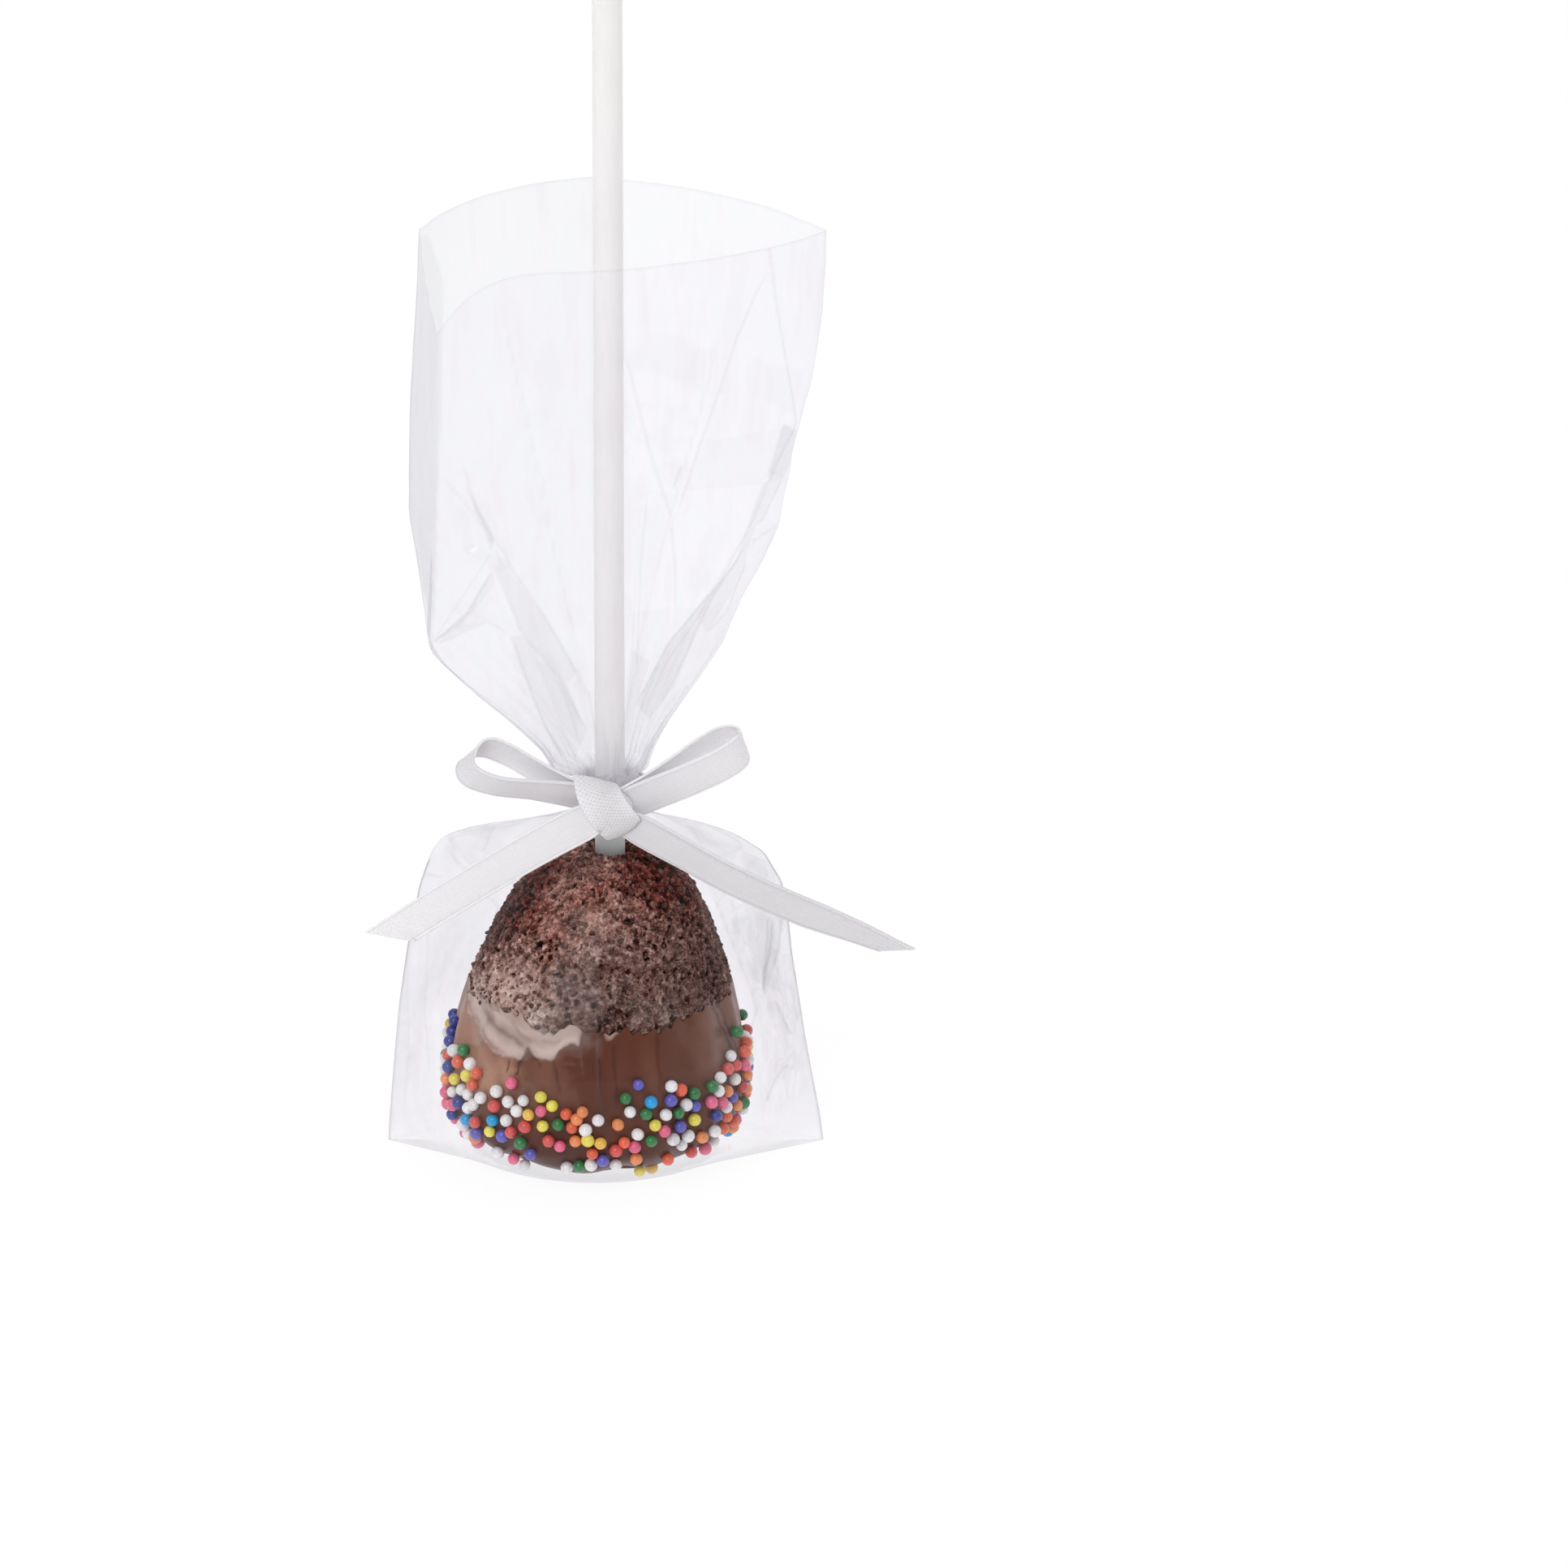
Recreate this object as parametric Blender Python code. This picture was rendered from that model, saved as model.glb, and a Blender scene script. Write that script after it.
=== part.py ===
"""Cake pop in a clear gift bag: fluted chocolate cake dipped in milk chocolate and sugar balls,
standing on its flat base with the paper stick up, the bag gathered round the stick and tied with
a ribbon bow. Lengths are in millimetres, and every point is turned into metres once. The origin
is on the stick's axis, on the surface that the cake pop stands on. +Z is up, -Y is the front."""
import math
import random

import bmesh
import bpy
from mathutils import Vector, noise

METRE = 0.001
GAP = 0.3  # clearance between neighbouring pieces

# Stick
STICK_RADIUS = 2.0
STICK_BOTTOM = 17.0
STICK_LENGTH = 152.0
STICK_SIDES = 16
STICK_EDGE = 0.25

# Cake: radius at each height, flutes from the baking mould, and how the cake leans
CAKE_BASE = 2.0
CAKE_TOP = 42.0
CAKE_PROFILE = [(2.0, 12.0), (3.2, 14.6), (5.5, 16.9), (9.0, 18.2), (13.0, 18.45), (18.0, 18.1),
                (23.2, 17.6), (28.0, 15.9), (32.7, 13.9), (36.8, 11.5), (40.2, 7.9), (41.5, 5.2),
                (42.0, 3.6)]
CAKE_SIDES = 56
COATED_RINGS = [2.0, 3.5, 6.5, 12.0, 23.5]  # levels that the coat lies against
BARE_RINGS = 8
FLUTES = 14
FLUTE_DEPTH = 0.32
CRUMB_RELIEF = 0.3
CRUMB_SIZE = 2.6
LEAN_AT_BASE = -2.0
LEAN_GAIN = 2.6
HOLE_RADIUS = STICK_RADIUS + GAP
HOLE_BOTTOM = STICK_BOTTOM - 2 * GAP

# Chocolate coat
COAT_BASE = 0.7
COAT_PROFILE = [(0.7, 13.0), (1.5, 14.9), (2.8, 16.8), (5.0, 18.6), (8.0, 19.6), (11.5, 19.9),
                (16.5, 19.45), (20.0, 18.8), (25.0, 18.0)]
COAT_RIM = 22.5
COAT_LIP = 0.15
COAT_GAP = GAP + 0.05
COAT_RIM_WAVE = 0.7
COAT_RIM_JAG = 0.4
COAT_RISE = [0.0, 0.04, 0.12, 0.27, 0.46, 0.72, 1.0]
FOOT_DRIP = 0.7

# Sugar balls
BALL_RADIUS = 0.86
BALL_PROUD = 0.52  # the centre's height over the chocolate
BALL_SPACING = 1.72
BALL_COUNT = 190
BAND_TOP = 16.3
BAND_DIP = 5.6
BAND_DIP_AT = math.radians(-98)
BAND_DIP_WIDTH = math.radians(26)
STRAYS = [math.radians(angle) for angle in (-131, -78, -18, 47, 112, 150)]
STRAY_RISE = 1.6
CLUMPS = [(math.radians(178), 16.6, 3), (math.radians(-101), 10.4, 2), (math.radians(20), 13.0, 2)]
CLUMP_STEP = 1.2
CLUMP_RISE = 0.2
CLUMP_TURN = 0.05
BALL_SEED = 11

# Bag: the film hugs the cake, so its depth is the hollow round the cake plus a wall
BAG_SIDES = 36
BAG_WALL = 0.7
SKIRT_WALL = 0.6
POUCH_FLOOR = 0.35
HOLLOW_PROFILE = [(0.35, 15.8), (1.1, 18.2), (2.4, 20.0), (5.0, 21.5), (9.0, 21.9), (17.0, 21.75),
                  (20.0, 20.9), (24.0, 19.0), (28.0, 17.0), (33.0, 14.7), (37.0, 12.4),
                  (40.5, 9.2), (42.6, 6.0), (44.5, 3.7), (46.0, 2.5)]
HOLLOW_RINGS = [0.35, 1.1, 2.4, 5.0, 9.0, 17.0, 22.0, 30.0, 36.5, 40.5, 43.5]
POUCH_LEFT = [(0.0, 29.9), (17.4, 28.8), (29.3, 26.7), (36.0, 25.5), (41.4, 24.3), (44.3, 21.8),
              (46.6, 9.0), (47.2, 4.3)]
POUCH_RIGHT = [(0.0, 28.5), (12.7, 26.9), (22.6, 24.9), (36.0, 23.2), (41.4, 20.5), (44.3, 16.5),
               (46.6, 9.0), (47.2, 4.3)]
POUCH_RINGS = [0.0, 0.6, 1.5, 3.0, 6.0, 11.0, 17.4, 23.0, 31.0, 37.0, 41.4, 44.3, 46.6]
POUCH_POWER = 1.8
SHOULDER_POWER = 1.4
NECK_RADIUS = 4.2
NECK_BOTTOM = 47.3
NECK_TOP = 52.7
PASSAGE_RADIUS = STICK_RADIUS + 0.5
SKIRT_LEFT = [(54.0, 6.0), (58.0, 9.3), (66.6, 20.1), (70.7, 23.4), (77.0, 24.8), (89.4, 26.4),
              (103.5, 26.0), (128.0, 24.9)]
SKIRT_RIGHT = [(54.0, 5.0), (58.0, 6.9), (66.6, 12.8), (77.0, 18.3), (86.8, 22.6), (100.0, 24.8),
               (128.0, 28.5)]
SKIRT_FRONT = [(54.0, 4.9), (58.0, 6.0), (70.7, 9.6), (86.8, 12.8), (103.5, 14.6), (128.0, 15.2)]
SKIRT_BACK = [(54.0, 4.9), (58.0, 6.2), (70.7, 10.8), (86.8, 14.8), (103.5, 17.8), (128.0, 20.0)]
SKIRT_RINGS = [54.0, 57.5, 62.0, 66.6, 70.7, 78.0, 88.0, 106.0, 128.0]
SKIRT_POWER = 1.85
MOUTH = 128.0
MOUTH_DROP = 7.5
MOUTH_DROP_AT = math.radians(-153)
MOUTH_DROP_WIDTH = math.radians(30)
PLEATS = 9
PLEAT_DEPTH = 0.11

# Ribbon
RIBBON_WIDTH = 5.0
RIBBON_THICKNESS = 0.5
KNOT_CENTRE = (0.0, -7.15, 50.2)
KNOT_RADII = (3.3, 1.8, 3.0)
WRAP_INNER = NECK_RADIUS + 0.4
WRAP_HEIGHT = 4.8
WRAP_SIDES = 28
LEFT_LOOP = {"out": (-0.937, 0.287, 0.201), "up": (0.0, -0.574, 0.819), "length": 20.6, "half": 3.1}
RIGHT_LOOP = {"out": (0.86, 0.465, 0.209), "up": (0.0, -0.41, 0.91), "length": 20.8, "half": 2.0}
LOOP_STEPS = 14
LOOP_FULLNESS = 1.54
LEFT_TAIL = [(-0.8, -7.6, 49.9), (-7.0, -8.6, 46.9), (-13.5, -9.6, 43.4), (-23.2, -11.0, 37.8),
             (-29.1, -11.5, 34.1)]
RIGHT_TAIL = [(1.0, -7.3, 49.2), (8.5, -9.0, 45.5), (16.0, -11.0, 41.9), (24.7, -12.0, 38.0),
              (33.4, -12.0, 34.5), (38.0, -12.0, 32.7)]
TAIL_UP = (0.0, -0.12, 1.0)
LEFT_CUT = 2.3
RIGHT_CUT = 1.4
BAND_PATH = [(-2.3, -5.9, 53.3), (-1.2, -8.2, 51.9), (0.5, -8.8, 49.9), (1.8, -8.0, 47.9),
             (2.3, -6.4, 46.9)]
BAND_ACROSS = (0.82, 0.0, 0.57)
SPLINE_STEPS = 3


def through(points):
    """A smooth curve through (position, value) pairs that never swings past them."""
    spans = list(zip(points, points[1:]))
    secants = [(b[1] - a[1]) / (b[0] - a[0]) for a, b in spans]
    slopes = [secants[0]]
    for before, after in zip(secants, secants[1:]):
        same_way = before * after > 0
        slopes.append(2 * before * after / (before + after) if same_way else 0.0)
    slopes.append(secants[-1])

    def value(position):
        position = min(max(position, points[0][0]), points[-1][0])
        index = 0
        while index < len(spans) - 1 and position > points[index + 1][0]:
            index += 1
        (x0, y0), (x1, y1) = spans[index]
        step = x1 - x0
        t = (position - x0) / step
        ease = t * t * (3 - 2 * t)
        lift = slopes[index] * step * t * (1 - t) ** 2 - slopes[index + 1] * step * t * t * (1 - t)
        return y0 + (y1 - y0) * ease + lift

    return value


cake_radius = through(CAKE_PROFILE)
coat_radius = through(COAT_PROFILE)
hollow_radius = through(HOLLOW_PROFILE)
pouch_left, pouch_right = through(POUCH_LEFT), through(POUCH_RIGHT)
skirt_left, skirt_right = through(SKIRT_LEFT), through(SKIRT_RIGHT)
skirt_front, skirt_back = through(SKIRT_FRONT), through(SKIRT_BACK)


def lean(height):
    """Sideways place of the cake's middle at a height."""
    return LEAN_AT_BASE + LEAN_GAIN * (height / CAKE_TOP) ** 2


def outward(profile, height, step=0.2):
    """Direction square to a turned profile: its share away from the axis, and its share up."""
    slope = (profile(height + step) - profile(height - step)) / (2 * step)
    return 1.0 / math.hypot(1.0, slope), -slope / math.hypot(1.0, slope)


def angles(count):
    return [2 * math.pi * step / count for step in range(count)]


def flute(angle):
    return 1.0 - FLUTE_DEPTH / 20.0 * (1.0 + math.cos(FLUTES * angle))


def rough(point, size, strength):
    """Uneven relief, the same for the same place."""
    return strength * noise.noise(Vector(point) / size)


def clear_scene():
    for thing in list(bpy.data.objects):
        bpy.data.objects.remove(thing, do_unlink=True)


def finish(name, colour, roughness, metallic=0.0):
    material = bpy.data.materials.new(name)
    material.use_nodes = True
    shader = material.node_tree.nodes["Principled BSDF"]
    shader.inputs["Base Color"].default_value = (*colour, 1.0)
    shader.inputs["Roughness"].default_value = roughness
    shader.inputs["Metallic"].default_value = metallic
    material.diffuse_color = (*colour, 1.0)
    return material


def add_object(name, mesh, material=None, smooth=math.radians(40)):
    thing = bpy.data.objects.new(name, mesh)
    bpy.context.scene.collection.objects.link(thing)
    if material:
        mesh.materials.append(material)
        mesh.shade_smooth()
        mesh.set_sharp_from_angle(angle=smooth)
    return thing


def loft(name, rings, first=None, last=None, endless=False):
    """A closed skin over rings of points: flat caps or poles at its ends, or none if endless."""
    shape = bmesh.new()
    rows = [[shape.verts.new(Vector(point) * METRE) for point in ring] for ring in rings]
    for lower, upper in zip(rows, rows[1:] + rows[:1] if endless else rows[1:]):
        count = len(lower)
        for side in range(count):
            after = (side + 1) % count
            shape.faces.new((lower[side], lower[after], upper[after], upper[side]))
    for row, pole in () if endless else ((rows[0], first), (rows[-1], last)):
        if pole is None:
            shape.faces.new(row)
            continue
        tip = shape.verts.new(Vector(pole) * METRE)
        for side in range(len(row)):
            shape.faces.new((row[side], row[(side + 1) % len(row)], tip))
    bmesh.ops.recalc_face_normals(shape, faces=shape.faces)
    mesh = bpy.data.meshes.new(name)
    shape.to_mesh(mesh)
    shape.free()
    return mesh


def fuse(base, pieces, solver="MANIFOLD"):
    """Union of the base with every piece, with the pieces then removed."""
    group = bpy.data.collections.new(base.name + "_pieces")
    bpy.context.scene.collection.children.link(group)
    for piece in pieces:
        bpy.context.scene.collection.objects.unlink(piece)
        group.objects.link(piece)
    union = base.modifiers.new("union", "BOOLEAN")
    union.operation = "UNION"
    union.solver = solver
    union.operand_type = "COLLECTION"
    union.collection = group
    evaluated = base.evaluated_get(bpy.context.evaluated_depsgraph_get())
    fused = bpy.data.meshes.new_from_object(evaluated)
    base.modifiers.clear()
    base.data = fused
    for piece in list(group.objects):
        bpy.data.objects.remove(piece, do_unlink=True)
    bpy.data.collections.remove(group)


def connected(first):
    """Every corner that can be reached from the first one along edges."""
    found, ahead = {first}, [first]
    while ahead:
        for edge in ahead.pop().link_edges:
            for corner in edge.verts:
                if corner not in found:
                    found.add(corner)
                    ahead.append(corner)
    return found


def tidy_joins(mesh, distance=0.01):
    """Closes the slivers that a union leaves, and drops loose scraps and sealed hollows."""
    shape = bmesh.new()
    shape.from_mesh(mesh)
    bmesh.ops.triangulate(shape, faces=shape.faces)
    bmesh.ops.remove_doubles(shape, verts=shape.verts, dist=distance * METRE)
    bmesh.ops.dissolve_degenerate(shape, edges=shape.edges, dist=distance * METRE)
    bmesh.ops.triangulate(shape, faces=shape.faces)
    shape.verts.ensure_lookup_table()
    outside = connected(max(shape.verts, key=lambda corner: corner.co.x))
    scraps = [corner for corner in shape.verts if corner not in outside]
    bmesh.ops.delete(shape, geom=scraps, context="VERTS")
    shape.to_mesh(mesh)
    shape.free()


def round_ring(height, radius, sides, centre=0.0):
    return [(centre + radius * math.cos(a), radius * math.sin(a), height) for a in angles(sides)]


def make_stick():
    top = STICK_BOTTOM + STICK_LENGTH
    stations = [(STICK_BOTTOM, STICK_RADIUS - STICK_EDGE), (STICK_BOTTOM + STICK_EDGE, STICK_RADIUS),
                (top - STICK_EDGE, STICK_RADIUS), (top, STICK_RADIUS - STICK_EDGE)]
    rings = [round_ring(height, radius, STICK_SIDES) for height, radius in stations]
    return add_object("stick", loft("stick", rings), finish("stick_paper", (0.86, 0.84, 0.82), 0.6))


def cake_point(angle, height, relief, clearance=0.0):
    out, up = outward(cake_radius, height)
    radius = cake_radius(height) * flute(angle) + clearance * out
    height += clearance * up
    point = (radius * math.cos(angle), radius * math.sin(angle), height)
    radius += rough(point, CRUMB_SIZE, relief)
    return lean(height) + radius * math.cos(angle), radius * math.sin(angle), height


def make_cake():
    """A dome with a pit for the stick, and crumb relief above the coat."""
    rings = [[cake_point(a, height, 0.0) for a in angles(CAKE_SIDES)] for height in COATED_RINGS]
    start = COATED_RINGS[-1] + 1.0
    for step in range(BARE_RINGS):
        height = start + (CAKE_TOP - start) * math.sin(0.5 * math.pi * step / (BARE_RINGS - 1))
        rings.append([cake_point(a, height, CRUMB_RELIEF) for a in angles(CAKE_SIDES)])
    rings.append(round_ring(CAKE_TOP - 0.5, HOLE_RADIUS, CAKE_SIDES))
    rings.append(round_ring(HOLE_BOTTOM, HOLE_RADIUS, CAKE_SIDES))
    mesh = loft("cake", rings, first=(lean(CAKE_BASE), 0.0, CAKE_BASE), last=(0.0, 0.0, HOLE_BOTTOM))
    return add_object("cake", mesh, finish("chocolate_cake", (0.11, 0.045, 0.03), 0.9))


def coat_rim(angle):
    """Height of the coat's uneven upper edge."""
    wave = COAT_RIM_WAVE * math.sin(angle + 0.5) * math.cos(2 * angle)
    return COAT_RIM + wave + rough((8 * math.cos(angle), 8 * math.sin(angle), 3.0), 1.1, COAT_RIM_JAG)


def coat_point(angle, height):
    radius = coat_radius(height) * flute(angle)
    return lean(height) + radius * math.cos(angle), radius * math.sin(angle), height


def coat_cup():
    turn = angles(CAKE_SIDES)
    foot = []
    for angle in turn:
        drip = 1.0 + rough((5 * math.cos(angle), 5 * math.sin(angle), 0.0), 2.2, FOOT_DRIP) / 13.0
        x, y, z = coat_point(angle, COAT_BASE)
        foot.append((lean(z) + (x - lean(z)) * drip, y * drip, z))
    rings = [foot]
    for share in COAT_RISE[1:]:
        rings.append([coat_point(a, COAT_BASE + share * (coat_rim(a) - COAT_BASE)) for a in turn])
    rings.append([cake_point(a, coat_rim(a) - COAT_LIP, 0.0, COAT_GAP) for a in turn])
    for height in reversed(COATED_RINGS[:-1]):
        rings.append([cake_point(a, height, 0.0, COAT_GAP) for a in turn])
    inner_base = CAKE_BASE - COAT_GAP
    rings[-1] = [(x, y, inner_base) for x, y, z in rings[-1]]
    return loft("coat", rings, first=(lean(COAT_BASE), 0.0, COAT_BASE),
                last=(lean(inner_base), 0.0, inner_base))


def band_top(angle):
    """Upper edge of the sugar balls: high at the sides, low at the front."""
    off = math.remainder(angle - BAND_DIP_AT, 2 * math.pi) / BAND_DIP_WIDTH
    return BAND_TOP - BAND_DIP * math.exp(-off * off)


def ball_place(angle, height, proud=BALL_PROUD):
    """Centre of a ball that lies on the chocolate, and the way it stands out."""
    away, up = outward(coat_radius, height)
    out = Vector((away * math.cos(angle), away * math.sin(angle), up))
    return Vector(coat_point(angle, height)) + out * proud, out


def crowded(place, places):
    return any((place - other).length < BALL_SPACING for other, out in places)


def ball_places():
    """Where the balls lie: clumps first, then a random spread that thins out at the upper edge."""
    draw = random.Random(BALL_SEED)
    places = []
    for angle, height, count in CLUMPS:
        for index in range(count):
            proud = BALL_PROUD + CLUMP_RISE * (index % 2)
            places.append(ball_place(angle + CLUMP_TURN * (index % 2), height - CLUMP_STEP * index, proud))
    lowest = COAT_BASE + BALL_RADIUS + 0.08
    tries = 0
    while len(places) < BALL_COUNT and tries < 40000:
        tries += 1
        angle = draw.uniform(-math.pi, math.pi)
        height = draw.uniform(1.0, BAND_TOP + 1.0)
        room = band_top(angle) - height
        if room < 0 or draw.random() > 0.25 + room / 3.0:
            continue
        place, out = ball_place(angle, height)
        if place.z < lowest or crowded(place, places):
            continue
        places.append((place, out))
    for angle in STRAYS:
        place, out = ball_place(angle, band_top(angle) + STRAY_RISE)
        if not crowded(place, places):
            places.append((place, out))
    return places


def make_coat():
    coat = add_object("coat", coat_cup())
    ball = bmesh.new()
    bmesh.ops.create_icosphere(ball, subdivisions=1, radius=BALL_RADIUS * METRE)
    ball_mesh = bpy.data.meshes.new("ball")
    ball.to_mesh(ball_mesh)
    ball.free()
    balls = []
    for place, out in ball_places():
        thing = add_object("ball", ball_mesh)
        thing.location = place * METRE
        thing.rotation_euler = out.to_track_quat("Z", "Y").to_euler()
        balls.append(thing)
    bpy.context.view_layer.update()
    fuse(coat, balls)
    bpy.data.meshes.remove(ball_mesh)
    tidy_joins(coat.data)
    coat.data.materials.clear()
    coat.data.materials.append(finish("milk_chocolate", (0.23, 0.105, 0.065), 0.35))
    coat.data.shade_smooth()
    coat.data.set_sharp_from_angle(angle=math.radians(35))
    return coat


def section(height, left, right, front, back, power, inset=0.0):
    """One level of the bag: a rounded lens, or a softer oval as the power nears 2."""
    ring = []
    for angle in angles(BAG_SIDES):
        across, along = math.cos(angle), math.sin(angle)
        wide = (right if across > 0 else left) - inset
        deep = (back if along > 0 else front) - inset
        x = wide * math.copysign(abs(across) ** (2 / power), across)
        y = deep * math.copysign(abs(along) ** (2 / power), along)
        ring.append((x, y, height))
    return ring


def pouch_ring(height):
    deep = max(hollow_radius(height) + BAG_WALL, NECK_RADIUS)
    power = POUCH_POWER if height < 37 else SHOULDER_POWER
    if height > 46:
        power = 2.0
        deep = NECK_RADIUS + 0.8
    if height == 0:
        deep = hollow_radius(height) - GAP
    return section(height, pouch_left(height), pouch_right(height), deep, deep, power)


def pleated(ring, height):
    """Gathers that run up from the neck and fade towards the mouth."""
    fade = PLEAT_DEPTH * max(0.0, 1.0 - (height - NECK_TOP) / 45.0)
    creased = []
    for angle, (x, y, z) in zip(angles(BAG_SIDES), ring):
        scale = 1.0 - fade * (0.5 + 0.5 * math.cos(PLEATS * angle + 0.6))
        creased.append((x * scale, y * scale, z))
    return creased


def skirt_ring(height, inset):
    ring = section(height, skirt_left(height), skirt_right(height), skirt_front(height),
                   skirt_back(height), SKIRT_POWER, inset)
    dropped = []
    for x, y, z in pleated(ring, height):
        off = math.remainder(math.atan2(y, x) - MOUTH_DROP_AT, 2 * math.pi) / MOUTH_DROP_WIDTH
        share = max(0.0, (height - 95.0) / (MOUTH - 95.0))
        dropped.append((x, y, z - MOUTH_DROP * share * math.exp(-off * off)))
    return dropped


def make_bag():
    """One skin: up the pouch, the neck and the skirt's outside, down its inside and the stick's
    passage, and round the hollow that holds the cake."""
    rings = [pouch_ring(height) for height in POUCH_RINGS]
    rings += [round_ring(height, NECK_RADIUS, BAG_SIDES) for height in (NECK_BOTTOM, NECK_TOP)]
    rings += [skirt_ring(height, 0.0) for height in SKIRT_RINGS]
    rings += [skirt_ring(height, SKIRT_WALL) for height in reversed(SKIRT_RINGS)]
    rings.append(round_ring(NECK_TOP + 0.3, PASSAGE_RADIUS, BAG_SIDES))
    rings.append(round_ring(HOLLOW_PROFILE[-1][0], PASSAGE_RADIUS, BAG_SIDES))
    rings += [round_ring(height, hollow_radius(height), BAG_SIDES, lean(height))
              for height in reversed(HOLLOW_RINGS)]
    mesh = loft("bag", rings, first=(0.0, 0.0, 0.0), last=(lean(0.0), 0.0, POUCH_FLOOR))
    return add_object("bag", mesh, finish("clear_film", (0.93, 0.93, 0.97), 0.08))


def spline(points, steps=SPLINE_STEPS):
    """Points on a smooth path through the given ones."""
    nodes = [Vector(p) for p in points]
    nodes = [2 * nodes[0] - nodes[1]] + nodes + [2 * nodes[-1] - nodes[-2]]
    path = []
    for p0, p1, p2, p3 in zip(nodes, nodes[1:], nodes[2:], nodes[3:]):
        for step in range(steps):
            t = step / steps
            path.append(0.5 * (2 * p1 + (p2 - p0) * t + (2 * p0 - 5 * p1 + 4 * p2 - p3) * t * t
                               + (3 * p1 - p0 - 3 * p2 + p3) * t ** 3))
    path.append(nodes[-2])
    return path


def strip(name, path, up, cut=0.0):
    """A flat ribbon along a path, its width towards up, with a slanted cut at the far end."""
    rings = []
    last = len(path) - 1
    for index, point in enumerate(path):
        ahead = (path[min(index + 1, last)] - path[max(index - 1, 0)]).normalized()
        across = (Vector(up) - ahead * ahead.dot(Vector(up))).normalized() * RIBBON_WIDTH / 2
        over = ahead.cross(across).normalized() * RIBBON_THICKNESS / 2
        slant = ahead * cut if index == last else Vector()
        rings.append([point + across + slant - over, point + across + slant + over,
                      point - across - slant + over, point - across - slant - over])
    return add_object(name, loft(name, rings))


def loop_path(loop):
    """A teardrop from the knot, out and back, square to its up direction."""
    out, up = Vector(loop["out"]).normalized(), Vector(loop["up"]).normalized()
    side = out.cross(up).normalized()
    path = []
    for step in range(LOOP_STEPS + 1):
        turn = 2 * math.pi * step / LOOP_STEPS
        reach = 0.5 * loop["length"] * (1 - math.cos(turn))
        spread = loop["half"] * math.sin(turn) * math.sin(0.5 * turn) ** 2 * LOOP_FULLNESS
        spread += RIBBON_THICKNESS * math.cos(0.5 * turn)
        path.append(Vector(KNOT_CENTRE) + out * (1.0 + reach) + side * spread)
    return path


def make_ribbon():
    knot = bmesh.new()
    bmesh.ops.create_uvsphere(knot, u_segments=14, v_segments=8, radius=METRE)
    bmesh.ops.scale(knot, vec=Vector(KNOT_RADII), verts=knot.verts)
    bmesh.ops.translate(knot, vec=Vector(KNOT_CENTRE) * METRE, verts=knot.verts)
    mesh = bpy.data.meshes.new("ribbon")
    knot.to_mesh(mesh)
    knot.free()
    ribbon = add_object("ribbon", mesh)
    low, high = KNOT_CENTRE[2] - WRAP_HEIGHT / 2, KNOT_CENTRE[2] + WRAP_HEIGHT / 2
    outer = WRAP_INNER + RIBBON_THICKNESS
    wrap = loft("wrap", [round_ring(low, outer, WRAP_SIDES), round_ring(high, outer, WRAP_SIDES),
                         round_ring(high, WRAP_INNER, WRAP_SIDES),
                         round_ring(low, WRAP_INNER, WRAP_SIDES)], endless=True)
    pieces = [add_object("wrap", wrap)]
    pieces.append(strip("left_loop", loop_path(LEFT_LOOP), LEFT_LOOP["up"]))
    pieces.append(strip("right_loop", loop_path(RIGHT_LOOP), RIGHT_LOOP["up"]))
    pieces.append(strip("left_tail", spline(LEFT_TAIL), TAIL_UP, LEFT_CUT))
    pieces.append(strip("right_tail", spline(RIGHT_TAIL), TAIL_UP, RIGHT_CUT))
    pieces.append(strip("band", spline(BAND_PATH, 2), BAND_ACROSS))
    fuse(ribbon, pieces)
    tidy_joins(ribbon.data)
    ribbon.data.materials.clear()
    ribbon.data.materials.append(finish("white_ribbon", (0.86, 0.85, 0.88), 0.5))
    ribbon.data.shade_smooth()
    ribbon.data.set_sharp_from_angle(angle=math.radians(40))
    return ribbon


clear_scene()
make_stick()
make_cake()
make_coat()
make_bag()
make_ribbon()
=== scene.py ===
import math
import random

import bpy
import numpy as np
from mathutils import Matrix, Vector, noise


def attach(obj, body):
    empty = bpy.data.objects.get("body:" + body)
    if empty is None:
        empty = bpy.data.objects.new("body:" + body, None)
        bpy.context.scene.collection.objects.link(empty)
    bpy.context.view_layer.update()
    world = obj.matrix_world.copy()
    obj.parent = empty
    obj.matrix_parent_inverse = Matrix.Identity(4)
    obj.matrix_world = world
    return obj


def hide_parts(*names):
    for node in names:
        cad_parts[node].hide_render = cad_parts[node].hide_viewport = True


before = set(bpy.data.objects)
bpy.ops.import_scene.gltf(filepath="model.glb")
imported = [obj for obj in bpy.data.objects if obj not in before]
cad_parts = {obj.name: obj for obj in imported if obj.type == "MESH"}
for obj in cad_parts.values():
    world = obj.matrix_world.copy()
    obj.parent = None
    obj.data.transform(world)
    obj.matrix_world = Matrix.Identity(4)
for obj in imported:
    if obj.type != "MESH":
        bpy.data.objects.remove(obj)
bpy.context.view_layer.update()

mm = 0.001
scene = bpy.context.scene
scene.view_settings.view_transform = "Standard"
scene.cycles.transparent_max_bounces = 48
scene.cycles.use_denoising = True
print("frame loaded with", len(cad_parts), "nodes")


# Camera at the photo's angle and framing

cameraFacts = {
    "elevation": 20.0,
    "target": (0.0232, 0.0, 0.0510),
    "distance": 2.5,
    "frameWidth": 0.2089,  # what the picture shows across, at the target
    "sensor": 36.0,
}


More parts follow.
